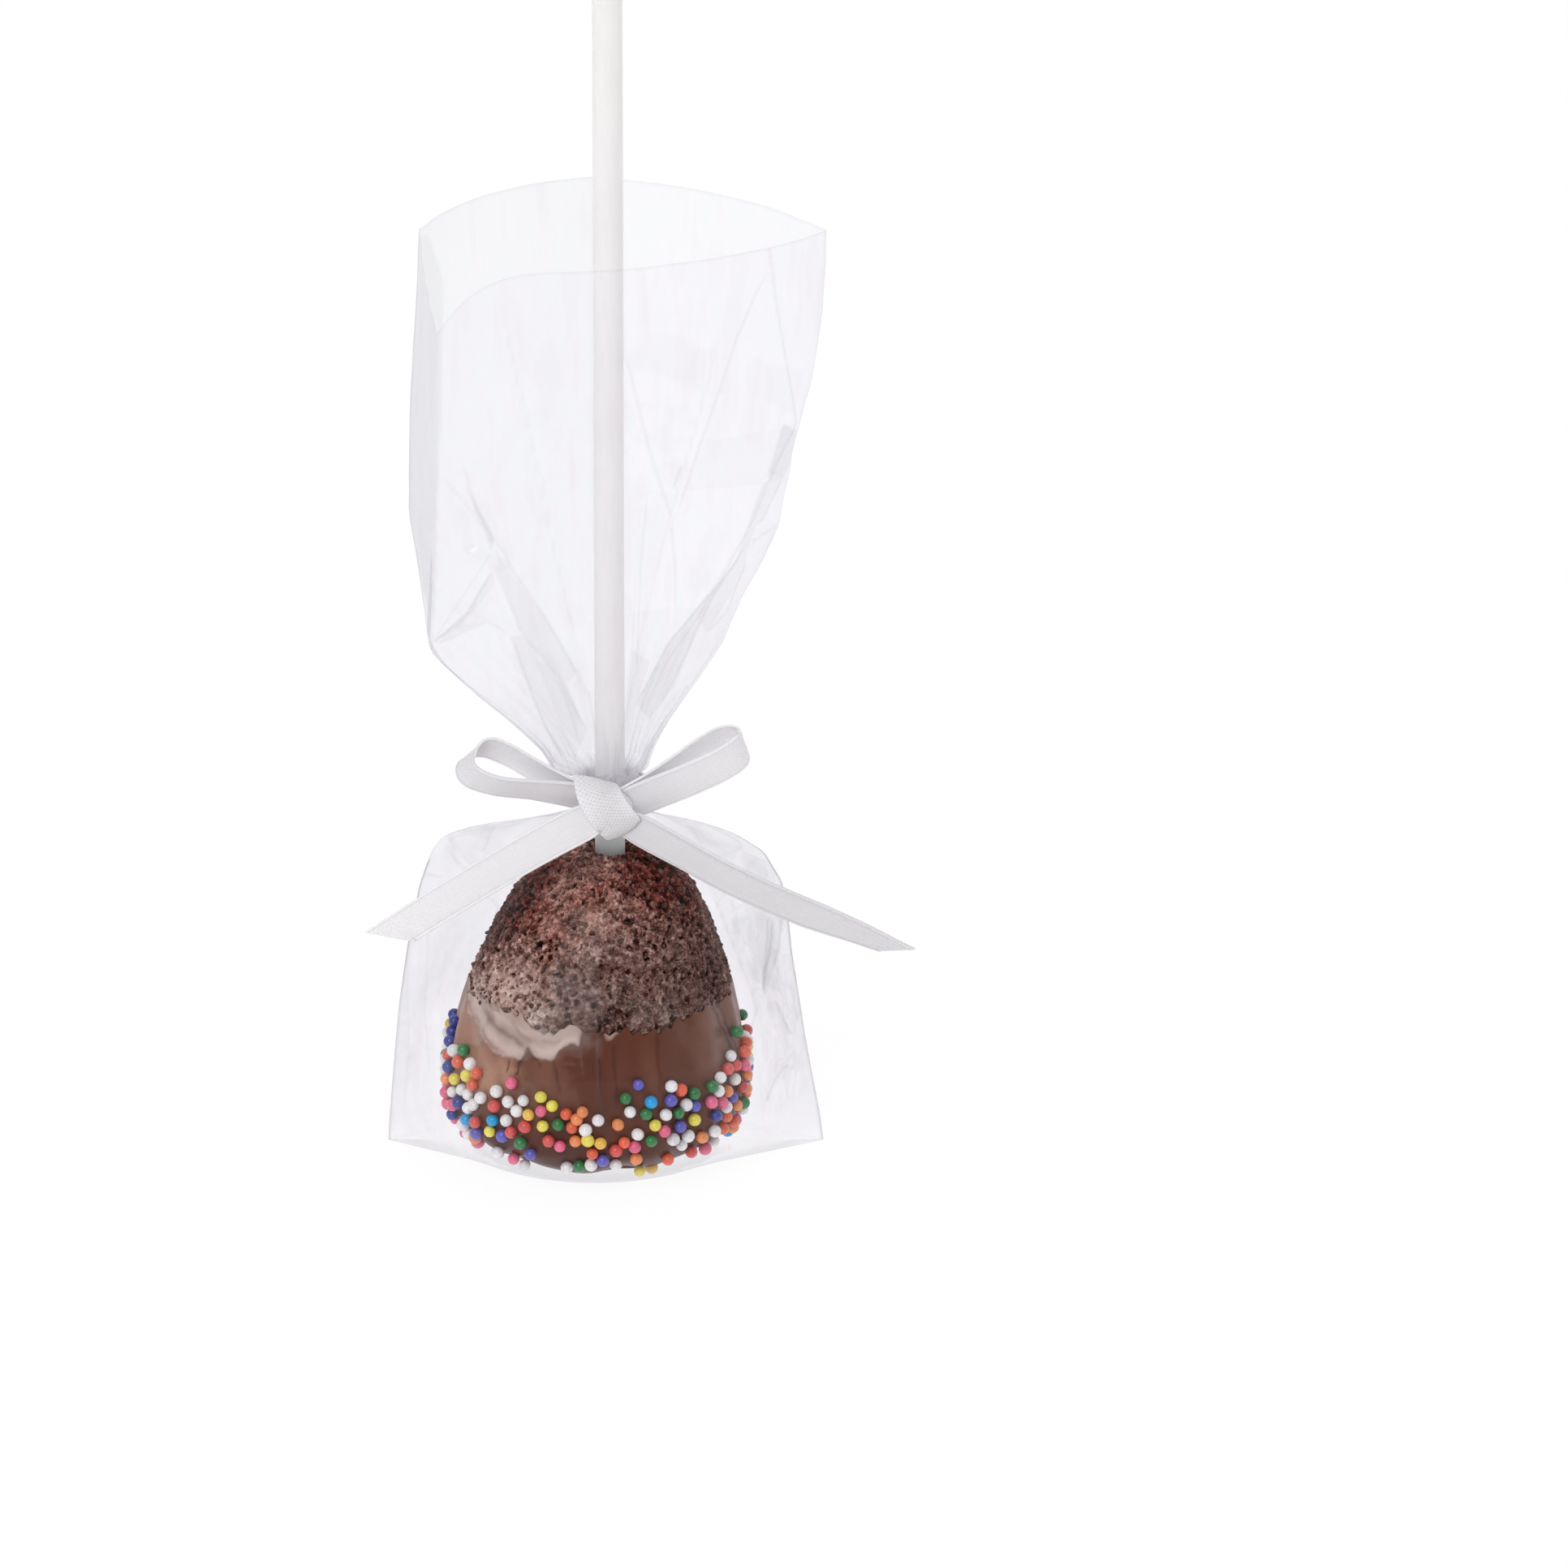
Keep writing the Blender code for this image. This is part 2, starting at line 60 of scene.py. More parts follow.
def makeCamera(facts):
    tilt = math.radians(facts["elevation"])
    camera = bpy.data.objects.new("camera", bpy.data.cameras.new("camera"))
    scene.collection.objects.link(camera)
    camera.data.sensor_width = facts["sensor"]
    camera.data.lens = facts["sensor"] * facts["distance"] / facts["frameWidth"]
    camera.data.clip_start = 0.01
    back = Vector((0.0, -math.cos(tilt), math.sin(tilt))) * facts["distance"]
    camera.location = Vector(facts["target"]) + back
    camera.rotation_euler = (math.radians(90.0) - tilt, 0.0, 0.0)
    scene.camera = camera


makeCamera(cameraFacts)


# Helpers for meshes


def smoothStep(low, high, value):
    t = np.clip((value - low) / (high - low), 0.0, 1.0)
    return t * t * (3 - 2 * t)


def smoothCurve(points):  # runs through (position, value) pairs and never swings past them
    xs, ys = np.array(points, float).T
    secants = np.diff(ys) / np.diff(xs)
    slopes = [secants[0]]
    for before, after in zip(secants, secants[1:]):
        slopes.append(2 * before * after / (before + after) if before * after > 0 else 0.0)
    slopes = np.array(slopes + [secants[-1]])

    def value(position):
        x = np.clip(position, xs[0], xs[-1])
        i = np.clip(np.searchsorted(xs, x, side="left") - 1, 0, len(xs) - 2)
        step = xs[i + 1] - xs[i]
        t = (x - xs[i]) / step
        lift = slopes[i] * step * t * (1 - t) ** 2 - slopes[i + 1] * step * t * t * (1 - t)
        return ys[i] + (ys[i + 1] - ys[i]) * t * t * (3 - 2 * t) + lift

    return value


def foldedCurve(points, reach, low=None):  # straight runs whose corners are rounded over a reach
    xs, ys = np.array(points, float).T

    def value(position):
        position = np.asarray(position, float)
        wide = reach
        if low:  # another reach, and the heights over which it takes over
            wide = reach + (low["reach"] - reach) * (1 - smoothStep(*low["between"], position))
        return sum(np.interp(position + shift * wide, xs, ys) for shift in (-1, -0.5, 0, 0.5, 1)) / 5

    return value


def circle(count, start=0.0):
    return np.linspace(start, start + 2 * math.pi, count, endpoint=False)


def turnFrom(angle, other):  # signed, within half a turn
    return np.angle(np.exp(1j * (angle - other)))


def ringPoints(angle, radius, height, centre=0.0):
    angle, radius, height, centre = np.broadcast_arrays(angle, radius, height, centre)
    return np.stack([centre + radius * np.cos(angle), radius * np.sin(angle), height], -1)


def noiseAt(points, size, offset=0.0):  # smooth noise from -1 to 1 for an array of points
    flat = (np.asarray(points, float) / size + offset).reshape(-1, 3)
    return np.array([noise.noise(p) for p in flat.tolist()]).reshape(np.shape(points)[:-1])


def cellsAt(points, size):  # 1 at the middle of each cell, falling to 0 between cells
    flat = (np.asarray(points, float) / size).reshape(-1, 3)
    near = np.array([noise.voronoi(p)[0][0] for p in flat.tolist()])
    return np.clip(1.0 - near, 0.0, 1.0).reshape(np.shape(points)[:-1])


def gridNormals(grid):  # outward normals of a grid that closes around
    around = np.roll(grid, -1, axis=1) - np.roll(grid, 1, axis=1)
    along = np.gradient(grid, axis=0)
    out = np.cross(around, along)
    return out / np.maximum(np.linalg.norm(out, axis=2, keepdims=True), 1e-9)


def gridMesh(name, grid, first=None, last=None, capEnds=False, closed=True):  # columns turn left
    rows, columns = grid.shape[:2]
    index = np.arange(rows * columns).reshape(rows, columns)
    after = np.roll(index, -1, axis=1)
    faces = np.stack([index[:-1], after[:-1], after[1:], index[1:]], axis=2)
    quads = faces[:, :columns if closed else -1].reshape(-1, 4).tolist()
    points = (grid.reshape(-1, 3) * mm).tolist()
    if first is not None:
        points.append([value * mm for value in first])
        quads += [(b, a, len(points) - 1) for a, b in zip(index[0].tolist(), after[0].tolist())]
    if last is not None:
        points.append([value * mm for value in last])
        quads += [(a, b, len(points) - 1) for a, b in zip(index[-1].tolist(), after[-1].tolist())]
    if capEnds:
        quads += [index[0][::-1].tolist(), index[-1].tolist()]
    mesh = bpy.data.meshes.new(name)
    mesh.from_pydata(points, [], quads)
    mesh.validate()
    mesh.update()
    mesh.shade_smooth()
    return mesh


def lineDistance(x, z, path):  # distance to a path in the x-z plane, and how far along it
    best = np.full(x.shape, 1e9)
    along = np.zeros(x.shape)
    lengths = [math.dist(a, b) for a, b in zip(path, path[1:])]
    run = 0.0
    for (x0, z0), (x1, z1), length in zip(path, path[1:], lengths):
        t = np.clip(((x - x0) * (x1 - x0) + (z - z0) * (z1 - z0)) / length ** 2, 0.0, 1.0)
        far = np.hypot(x - x0 - t * (x1 - x0), z - z0 - t * (z1 - z0))
        nearer = far < best
        best = np.where(nearer, far, best)
        along = np.where(nearer, (run + t * length) / sum(lengths), along)
        run += length
    return best, along


def insideOf(x, z, outline):
    inside = np.zeros(x.shape, bool)
    for (x0, z0), (x1, z1) in zip(outline, outline[1:] + outline[:1]):
        if z0 != z1:
            inside ^= ((z0 > z) != (z1 > z)) & (x < x0 + (z - z0) * (x1 - x0) / (z1 - z0))
    return inside


def zoned(grid, share, zones, soft, ragged=0.0):  # soft-edged areas; a zone is (strength, outline)
    shade = np.zeros(grid.shape[:2])
    x, z = grid[:, :, 0], grid[:, :, 2]
    if ragged:
        x = x + ragged * (noiseAt(grid, 1.3, 21.0) + 0.6 * noiseAt(grid, 0.5, 5.0))
        z = z + ragged * (noiseAt(grid, 1.5, 33.0) + 0.6 * noiseAt(grid, 0.6, 9.0))
    for strength, outline in zones:
        far = lineDistance(x, z, outline + outline[:1])[0]
        depth = np.where(insideOf(x, z, outline), far, -far)
        shade += strength * smoothStep(-soft, soft, depth)
    return shade * share


def addValues(mesh, **fields):  # numbers for each point of the mesh; poles get the mean
    for name, values in fields.items():
        values = np.asarray(values, float).ravel()
        spare = len(mesh.vertices) - len(values)
        values = np.concatenate([values, np.full(spare, values.mean())])
        mesh.attributes.new(name, "FLOAT", "POINT").data.foreach_set("value", values.astype(np.float32))


def newObject(name, data):
    made = bpy.data.objects.new(name, data)
    scene.collection.objects.link(made)
    return made


def addPiece(name, mesh, material, cadNode):
    piece = newObject(name, mesh)
    mesh.materials.clear()
    mesh.materials.append(material)
    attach(piece, "root")
    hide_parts(cadNode)
    print("made", name, "with", sum(len(p.vertices) - 2 for p in mesh.polygons), "triangles")
    return piece


# Helpers for node trees


def put(tree, kind, inputs=None, **settings):  # adds a node; an input takes a value or a socket
    made = tree.nodes.new(kind)
    for key, value in settings.items():
        setattr(made, key, value)
    for key, value in (inputs or {}).items():
        if isinstance(value, bpy.types.NodeSocket):
            tree.links.new(value, made.inputs[key])
        else:
            made.inputs[key].default_value = value
    return made


def calc(tree, operation, *values):  # takes two values or more, from left to right
    total, *rest = values
    for value in rest or [None]:
        inputs = {0: total} if value is None else {0: total, 1: value}
        total = put(tree, "ShaderNodeMath", inputs, operation=operation).outputs[0]
    return total


def plus(tree, *values):
    return calc(tree, "ADD", *values)


def minus(tree, *values):
    return calc(tree, "SUBTRACT", *values)


def times(tree, *values):
    return calc(tree, "MULTIPLY", *values)


def vectorCalc(tree, operation, first, second):
    inputs = {0: first, "Scale" if operation == "SCALE" else 1: second}
    return put(tree, "ShaderNodeVectorMath", inputs, operation=operation).outputs[0]


def ranged(tree, value, fromRange=(0.0, 1.0), toRange=(0.0, 1.0)):
    inputs = {"Value": value, "From Min": fromRange[0], "From Max": fromRange[1],
              "To Min": toRange[0], "To Max": toRange[1]}
    return put(tree, "ShaderNodeMapRange", inputs).outputs["Result"]


def valueOf(tree, name):  # a number that the mesh carries at each point
    return put(tree, "ShaderNodeAttribute", attribute_name=name).outputs["Fac"]


def blended(tree, share, first, second, kind="MIX"):
    inputs = {"Factor": share, 6: first, 7: second}
    return put(tree, "ShaderNodeMix", inputs, data_type="RGBA", blend_type=kind).outputs[2]


def ramp(tree, factor, stops):  # stops are (place, colour)
    made = put(tree, "ShaderNodeValToRGB", {"Fac": factor})
    elements = made.color_ramp.elements
    while len(elements) < len(stops):
        elements.new(0.5)
    for element, (place, colour) in zip(elements, stops):
        element.position = place
        element.color = (*colour, 1.0)
    return made.outputs["Color"]


def noiseNode(tree, where, scale, detail=3.0, roughness=0.5):
    inputs = {"Vector": where, "Scale": scale, "Detail": detail, "Roughness": roughness}
    return put(tree, "ShaderNodeTexNoise", inputs).outputs["Fac"]


def stretched(tree, where, scale):
    return put(tree, "ShaderNodeMapping", {"Vector": where, "Scale": scale}).outputs["Vector"]


def newMaterial(name, **plain):  # a Principled material; plain values are set on the shader's own sockets
    material = bpy.data.materials.new(name)
    material.use_nodes = True
    tree = material.node_tree
    shader = tree.nodes["Principled BSDF"]
    for key, value in plain.items():
        shader.inputs[key.replace("_", " ")].default_value = value
    where = put(tree, "ShaderNodeTexCoord").outputs["Object"]
    return material, tree, shader, where


def dress(tree, shader, colour, height, distance, strength):  # colour and relief of a surface
    bump = put(tree, "ShaderNodeBump", {"Height": height, "Distance": distance, "Strength": strength})
    tree.links.new(colour, shader.inputs["Base Color"])
    tree.links.new(bump.outputs["Normal"], shader.inputs["Normal"])


def heightOf(tree, where):
    return put(tree, "ShaderNodeSeparateXYZ", {0: where}).outputs["Z"]


# Paper stick

stickFacts = {
    "radius": 2.0,
    "bottom": 17.0,
    "length": 152.0,
    "edge": 0.25,
    "sides": 96,
    "rowHeight": 2.0,
    "unevenness": 0.02,
    "seamAngle": 205.0,  # where the rolled paper ends
    "seamDepth": 0.05,
    "seamFade": 0.06,  # radians
    "rollPitch": 0.22,  # paper thickness seen on the end
    "rollDepth": 0.05,
    "greased": (0.60, 0.64, 0.61, 1.0),  # painted shade on the stick's foot, under the knot and down into the cake
    "greaseEnds": (0.0455, 0.0475),  # metres up
}


def paperMaterial(facts):
    material, tree, shader, where = newMaterial(
        "rolledPaper", Roughness=0.6, Subsurface_Weight=1.0, Subsurface_Scale=0.005,
        Subsurface_Radius=(1.0, 1.0, 1.0))
    fibres = noiseNode(tree, stretched(tree, where, (1.0, 1.0, 0.12)), 1500.0, 5.0, 0.6)
    blotches = noiseNode(tree, stretched(tree, where, (1.0, 1.0, 0.5)), 260.0)
    tone = plus(tree, times(tree, fibres, 0.45), times(tree, blotches, 0.55))
    colour = ramp(tree, tone, [(0.3, (0.785, 0.76, 0.755)), (0.7, (0.85, 0.825, 0.82))])
    # painted shade: the paper is painted darker from these heights down
    damp = ranged(tree, heightOf(tree, where), facts["greaseEnds"], (1.0, 0.0))
    dress(tree, shader, blended(tree, damp, colour, facts["greased"]), fibres, 0.00004, 0.5)
    return material


def makeStick(facts):
    turn = circle(facts["sides"])
    radius, bottom, edge = facts["radius"], facts["bottom"], facts["edge"]
    top = bottom + facts["length"]
    rings = [(bottom, radius - edge)]
    rings += [(height, radius) for height in np.arange(bottom + edge, top - edge, facts["rowHeight"])]
    for a in np.linspace(0.0, math.pi / 2, 5):  # rounded upper edge
        rings.append((top - edge * (1 - math.sin(a)), radius - edge * (1 - math.cos(a))))
    grid = np.array([ringPoints(turn, reach, height) for height, reach in rings])
    off = turnFrom(turn, math.radians(facts["seamAngle"]))
    seam = facts["seamDepth"] * np.exp(-np.abs(off) / facts["seamFade"]) * (off > 0)
    wobble = facts["unevenness"] * noiseAt(grid * (1.0, 1.0, 0.2), 1.2) - seam
    grid[1:, :, :2] *= 1 + wobble[1:, :, None] / radius
    cap = []
    for reach in np.linspace(radius - edge - 0.03, 0.1, 32):  # the paper's turns on the end
        spiral = np.mod(reach / facts["rollPitch"] - turn / (2 * math.pi), 1.0)
        cap.append(ringPoints(turn, reach, top - facts["rollDepth"] * np.abs(2 * spiral - 1) ** 3))
    grid = np.concatenate([grid, np.array(cap)])
    mesh = gridMesh("paperStick", grid, first=(0, 0, bottom), last=(0, 0, top - 0.03))
    addPiece("paperStick", mesh, paperMaterial(facts), "stick")


makeStick(stickFacts)


# Cake: a fluted dome that leans a little, with an open crumb above the chocolate

cakeFacts = {
    "base": 2.0,
    "top": 42.0,
    "profile": [(2, 12), (3.2, 14.6), (5.5, 16.9), (9, 18.2), (13, 18.45), (18, 18.1), (23.2, 17.6),
                (28, 15.9), (32.7, 13.9), (36.8, 11.5), (40.2, 7.9), (41.5, 5.2), (42, 3.6)],
    "flutes": 14,
    "fluteDepth": 0.36,
    "leanAtBase": -2.0,
    "leanGain": 2.0,
    "columns": 620,
    "rowLength": 0.205,
    "bareFrom": 20.6,  # below this the chocolate hides it
    "hiddenRings": [2.0, 2.8, 4.0, 6.0, 9.0, 13.0, 17.0, 19.4],  # under the chocolate
    "pitRings": [(3.35, 42), (3.1, 41.97), (2.85, 41.9), (2.62, 41.75), (2.42, 41.5), (2.34, 41.2),
                 (2.3, 40.8), (2.3, 40), (2.3, 36), (2.3, 16.4)],  # hole round the stick
    "swell": 0.20,  # heights of the relief
    "crumbs": 0.34,
    "grit": 0.17,
    "pores": 0.60,
    "highest": 0.42,
    "coarseCells": 0.72,
    "fineCells": 0.40,
    "tones": [  # painted light and shade: the crumb is painted paler where light falls on it, and darker where it is shaded at its left edge, top right and right side
        (-0.25, [(-20, 26), (-18, 28.5), (-15, 37.2), (-9.4, 43.5), (-7, 41), (-8.8, 38.5), (-10.2, 35),
                 (-11.6, 32.4), (-14.6, 30), (-16.8, 27.8), (-18.4, 25.4)]),
        (-0.15, [(1.8, 43), (1.8, 39.4), (5, 37.2), (9, 35.6), (15, 33.5), (16, 38), (9, 43)]),
        (-0.08, [(5.7, 36), (10, 36), (15.5, 31), (18.5, 23.5), (18, 21), (9, 22.5), (6.5, 29)]),
        (0.15, [(-17.6, 25.4), (-14.6, 28.6), (-10.8, 31.6), (-7.6, 31), (-8.8, 21), (-19.6, 21)]),
        (0.07, [(-18.4, 25.6), (-14.4, 26.6), (-10, 24), (-10.4, 20.8), (-19.6, 20.8)]),
        (0.08, [(-10.5, 38), (-3.5, 41), (2, 38), (1.5, 33), (-8, 32)]),
        (-0.03, [(-7, 30), (1, 33), (6, 30), (6, 23), (-7, 23)]),
        (-0.10, [(-3, 24), (3, 24.6), (3.5, 21.6), (-2.8, 21.4)]),
    ],
    "hues": [  # below 0 redder, as painted shade; above 0 greyer, as painted glare of the film
        (-0.75, [(-20, 26), (-18, 28.5), (-15, 37.2), (-9.6, 43.5), (-7.2, 41), (-9, 38.5), (-10.4, 35),
                 (-11.8, 32.4), (-14.6, 30.2), (-16.8, 28), (-18.4, 25.6)]),
        (-0.6, [(1.8, 43), (1.8, 39.4), (5, 37.2), (9, 35.6), (15, 33.5), (16, 38), (9, 43)]),
        (0.7, [(-9.4, 26), (-6, 30.5), (0, 34), (4, 33), (9, 28), (14, 22.5), (3.5, 20.8), (-9.5, 20.8)]),
        (0.45, [(5.7, 35), (10, 35), (15.5, 31), (18.5, 23.5), (18, 21), (9, 24)]),
    ],
}
cakeRadius = smoothCurve(cakeFacts["profile"])


def leanAt(height):
    return cakeFacts["leanAtBase"] + cakeFacts["leanGain"] * (height / cakeFacts["top"]) ** 2


def fluteAt(angle):
    return 1.0 - cakeFacts["fluteDepth"] / 20.0 * (1.0 + np.cos(cakeFacts["flutes"] * angle))


def outwardAt(profile, height, step=0.2):  # share away from the axis, and share up
    slope = (profile(height + step) - profile(height - step)) / (2 * step)
    length = np.hypot(1.0, slope)
    return 1.0 / length, -slope / length


def evenHeights(profile, low, high, spacing):  # heights a spacing apart along the profile
    fine = np.linspace(low, high, 2000)
    run = np.concatenate([[0.0], np.cumsum(np.hypot(np.diff(fine), np.diff(profile(fine))))])
    return np.interp(np.linspace(0.0, run[-1], max(2, round(run[-1] / spacing))), run, fine)


def turned(profile, heights, turn, clearance=0.0):  # fluted, leaning surface of a profile
    height, angle = np.meshgrid(heights, turn, indexing="ij")
    out, up = outwardAt(profile, height)
    radius = profile(height) * fluteAt(angle) + clearance * out
    height = height + clearance * up
    return ringPoints(angle, radius, height, leanAt(height))


def crumbRelief(grid, facts):
    swell = noiseAt(grid, 3.4) * facts["swell"]
    crumbs = (cellsAt(grid, facts["coarseCells"]) - 0.5) * facts["crumbs"]
    fine = (cellsAt(grid + 40.0, facts["fineCells"]) - 0.5) * facts["crumbs"] * 0.6
    grit = noiseAt(grid, 0.27, 7.0) * facts["grit"]
    pits = smoothStep(0.24, 0.55, noiseAt(grid, 0.85, 3.0)) * facts["pores"]
    pits = pits + smoothStep(0.25, 0.5, noiseAt(grid, 0.42, 11.0)) * facts["pores"] * 0.5
    return swell + crumbs + fine + grit - pits


def cellNode(tree, where, scale):  # distance to the middle of a cell, and a number of the cell's own
    cells = put(tree, "ShaderNodeTexVoronoi", {"Vector": where, "Scale": scale})
    own = put(tree, "ShaderNodeSeparateColor", {0: cells.outputs["Color"]})
    return cells.outputs["Distance"], own.outputs["Red"]


def cakeMaterial():
    material, tree, shader, where = newMaterial("crumbyCake", Roughness=0.7)
    wander = put(tree, "ShaderNodeTexNoise", {"Vector": where, "Scale": 1300.0, "Detail": 3.0})
    shift = vectorCalc(tree, "SUBTRACT", wander.outputs["Color"], (0.5, 0.5, 0.5))
    bent = vectorCalc(tree, "ADD", where, vectorCalc(tree, "SCALE", shift, 0.0009))
    grainGap, grainTone = cellNode(tree, bent, 2500.0)
    lumpGap, lumpTone = cellNode(tree, bent, 1150.0)
    poreGap, poreDraw = cellNode(tree, bent, 860.0)
    chosen = calc(tree, "LESS_THAN", poreDraw, 0.24)  # the share of cells that are pores
    pore = times(tree, ranged(tree, poreGap, (0.46, 0.22)), chosen)
    # painted light and shade of the crumb, with its redder painted shade and greyer painted glare
    zone, hue = valueOf(tree, "cakeTone"), valueOf(tree, "cakeHue")
    # painted shade and painted highlight: the tone is darker in pores, hollows and gaps between crumbs, and
    # paler on raised crumbs
    grain = 0.0
    for part, middle, gain in (
            (valueOf(tree, "crumbDepth"), 0.5, 0.42), (noiseNode(tree, where, 5200.0, 3.0, 0.7), 0.5, 1.05),
            (noiseNode(tree, where, 900.0, 3.0, 0.6), 0.5, 0.80), (grainTone, 0.5, 0.20),
            (grainGap, 0.4, -0.22), (lumpTone, 0.5, 0.16), (lumpGap, 0.4, -0.16),
            (noiseNode(tree, where, 110.0, 2.0), 0.5, 0.45), (pore, 0.0, -0.45)):
        grain = plus(tree, grain, times(tree, minus(tree, part, middle), gain))
    greyer = times(tree, calc(tree, "MAXIMUM", hue, 0.0), 0.45)
    paler = times(tree, calc(tree, "MAXIMUM", zone, 0.0), 2.2)
    flat = minus(tree, 1.0, greyer, paler)  # painted glare and painted light patches have less contrast
    tone = plus(tree, times(tree, grain, flat), plus(tree, zone, 0.575))
    colour = ramp(tree, tone, [(0.12, (0.004, 0.0004, 0.0002)), (0.34, (0.085, 0.025, 0.016)),
                               (0.54, (0.245, 0.127, 0.101)), (0.72, (0.47, 0.297, 0.248)),
                               (0.95, (0.82, 0.64, 0.56))])
    rise = ranged(tree, heightOf(tree, where), (0.024, 0.041), (0.14, -0.20))  # redder to the top
    patches = times(tree, noiseNode(tree, where, 130.0, 2.0), 0.7)
    patches = plus(tree, patches, 0.15, rise, times(tree, hue, 0.35))
    tint = ramp(tree, patches, [(0.15, (1.04, 0.52, 0.44)), (0.36, (1.05, 0.87, 0.81)),
                                (0.56, (1.02, 1.00, 0.98)), (0.85, (0.92, 1.02, 1.03))])
    shine = ranged(tree, tone, (0.35, 0.8), (0.0, 0.4))
    tree.links.new(shine, shader.inputs["Specular IOR Level"])
    dress(tree, shader, vectorCalc(tree, "MULTIPLY", colour, tint), tone, 0.00017, 0.75)
    return material


def makeCake(facts):
    turn = circle(facts["columns"], -math.pi)
    hidden = turned(cakeRadius, facts["hiddenRings"], turn)
    heights = evenHeights(cakeRadius, facts["bareFrom"], facts["top"], facts["rowLength"])
    pit = []
    for radius, height in facts["pitRings"]:
        pit.append(ringPoints(turn, radius, height, leanAt(height) * smoothStep(2.4, 3.6, radius)))
    grid = np.concatenate([hidden, turned(cakeRadius, heights, turn), np.array(pit)])
    normals = gridNormals(grid)
    relief = crumbRelief(grid, facts)
    height = grid[:, :, 2]
    radius = np.hypot(grid[:, :, 0], grid[:, :, 1])
    share = smoothStep(20.8, 21.8, height) * smoothStep(2.25, 3.0, radius)
    room = smoothStep(21.6, 22.4, height) * smoothStep(2.5, 3.2, radius)
    grid = grid + normals * (np.minimum(relief, facts["highest"]) * share)[:, :, None]
    mesh = gridMesh("cakeDome", grid, first=(leanAt(2.0), 0, facts["base"]),
                    last=(0, 0, facts["pitRings"][-1][1]))
    front = 1 - smoothStep(3.0, 9.0, grid[:, :, 1])
    addValues(mesh, crumbDepth=np.clip(0.55 + relief / 0.95, 0.0, 1.0), crumbRoom=room,
              cakeTone=zoned(grid, front, facts["tones"], 1.6, 1.4),
              cakeHue=zoned(grid, front, facts["hues"], 1.8, 1.2))
    return addPiece("cakeDome", mesh, cakeMaterial(), "cake")


cakeDome = makeCake(cakeFacts)


# Loose crumbs, scattered over the bare part of the cake by Geometry Nodes

crumbFacts = {
    "density": 600000.0,  # crumbs on a square metre
    "smallest": 0.13,
    "largest": 0.38,
    "roughness": 0.12,
    "seed": 7,
}


def newTree(name, sockets):  # sockets are (name, kind, value)
    tree = bpy.data.node_groups.new(name, "GeometryNodeTree")
    tree.interface.new_socket("Geometry", in_out="INPUT", socket_type="NodeSocketGeometry")
    for label, kind, value in sockets:
        socket = tree.interface.new_socket(label, in_out="INPUT", socket_type=kind)
        socket.default_value = value
    tree.interface.new_socket("Geometry", in_out="OUTPUT", socket_type="NodeSocketGeometry")
    start = tree.nodes.new("NodeGroupInput")
    end = tree.nodes.new("NodeGroupOutput")
    return tree, start.outputs, end.inputs["Geometry"]


def growMesh(name, carrier, tree, values):  # runs a tree on a carrier and keeps the result as a mesh
    thing = newObject(name + "Carrier", carrier)
    modifier = thing.modifiers.new("grow", "NODES")
    modifier.node_group = tree
    for item in tree.interface.items_tree:
        if item.in_out == "INPUT" and item.name in values:
            modifier[item.identifier] = values[item.name]
    evaluated = thing.evaluated_get(bpy.context.evaluated_depsgraph_get())
    mesh = bpy.data.meshes.new_from_object(evaluated)
    mesh.name = name
    bpy.data.objects.remove(thing, do_unlink=True)
    return mesh


def named(tree, kind, name):
    return put(tree, "GeometryNodeInputNamedAttribute", {"Name": name}, data_type=kind).outputs["Attribute"]


def drawn(tree, kind, inputs):  # random values
    made = put(tree, "FunctionNodeRandomValue", inputs, data_type=kind)
    return made.outputs[1 if kind == "FLOAT" else 0]


def scatter(tree, end, material, points, shape, turn, size, move=None):  # a shape on every point
    placed = put(tree, "GeometryNodeInstanceOnPoints",
                 {"Points": points, "Instance": shape.outputs["Mesh"], "Rotation": turn, "Scale": size})
    made = put(tree, "GeometryNodeRealizeInstances", {"Geometry": placed.outputs["Instances"]})
    if move is not None:
        made = put(tree, "GeometryNodeSetPosition", {"Geometry": made.outputs[0], "Offset": move})
    made = put(tree, "GeometryNodeSetShadeSmooth", {"Geometry": made.outputs[0]})
    made = put(tree, "GeometryNodeSetMaterial", {"Geometry": made.outputs[0], "Material": material})
    tree.links.new(made.outputs[0], end)


def crumbTree(material):
    tree, given, end = newTree("looseCrumbs", [
        ("Density", "NodeSocketFloat", 100000.0), ("Smallest", "NodeSocketFloat", 0.0001),
        ("Largest", "NodeSocketFloat", 0.0003), ("Roughness", "NodeSocketFloat", 0.0001),
        ("Seed", "NodeSocketInt", 1)])
    density = times(tree, given["Density"], named(tree, "FLOAT", "crumbRoom"))
    points = put(tree, "GeometryNodeDistributePointsOnFaces",
                 {"Mesh": given["Geometry"], "Density": density, "Seed": given["Seed"]})
    size = drawn(tree, "FLOAT", {2: given["Smallest"], 3: given["Largest"], "Seed": given["Seed"]})
    spin = drawn(tree, "FLOAT_VECTOR", {1: [math.tau] * 3, "Seed": given["Seed"]})
    squash = drawn(tree, "FLOAT_VECTOR", {0: [0.6] * 3, 1: [1.2] * 3, "Seed": 3})
    lump = put(tree, "GeometryNodeMeshIcoSphere", {"Radius": 1.0, "Subdivisions": 2})
    bumps = put(tree, "ShaderNodeTexNoise", {"Scale": 3200.0, "Detail": 1.0})
    centred = vectorCalc(tree, "SUBTRACT", bumps.outputs["Color"], (0.5, 0.5, 0.5))
    scatter(tree, end, material, points.outputs["Points"], lump, spin,
            vectorCalc(tree, "SCALE", squash, size), vectorCalc(tree, "SCALE", centred, given["Roughness"]))
    return tree


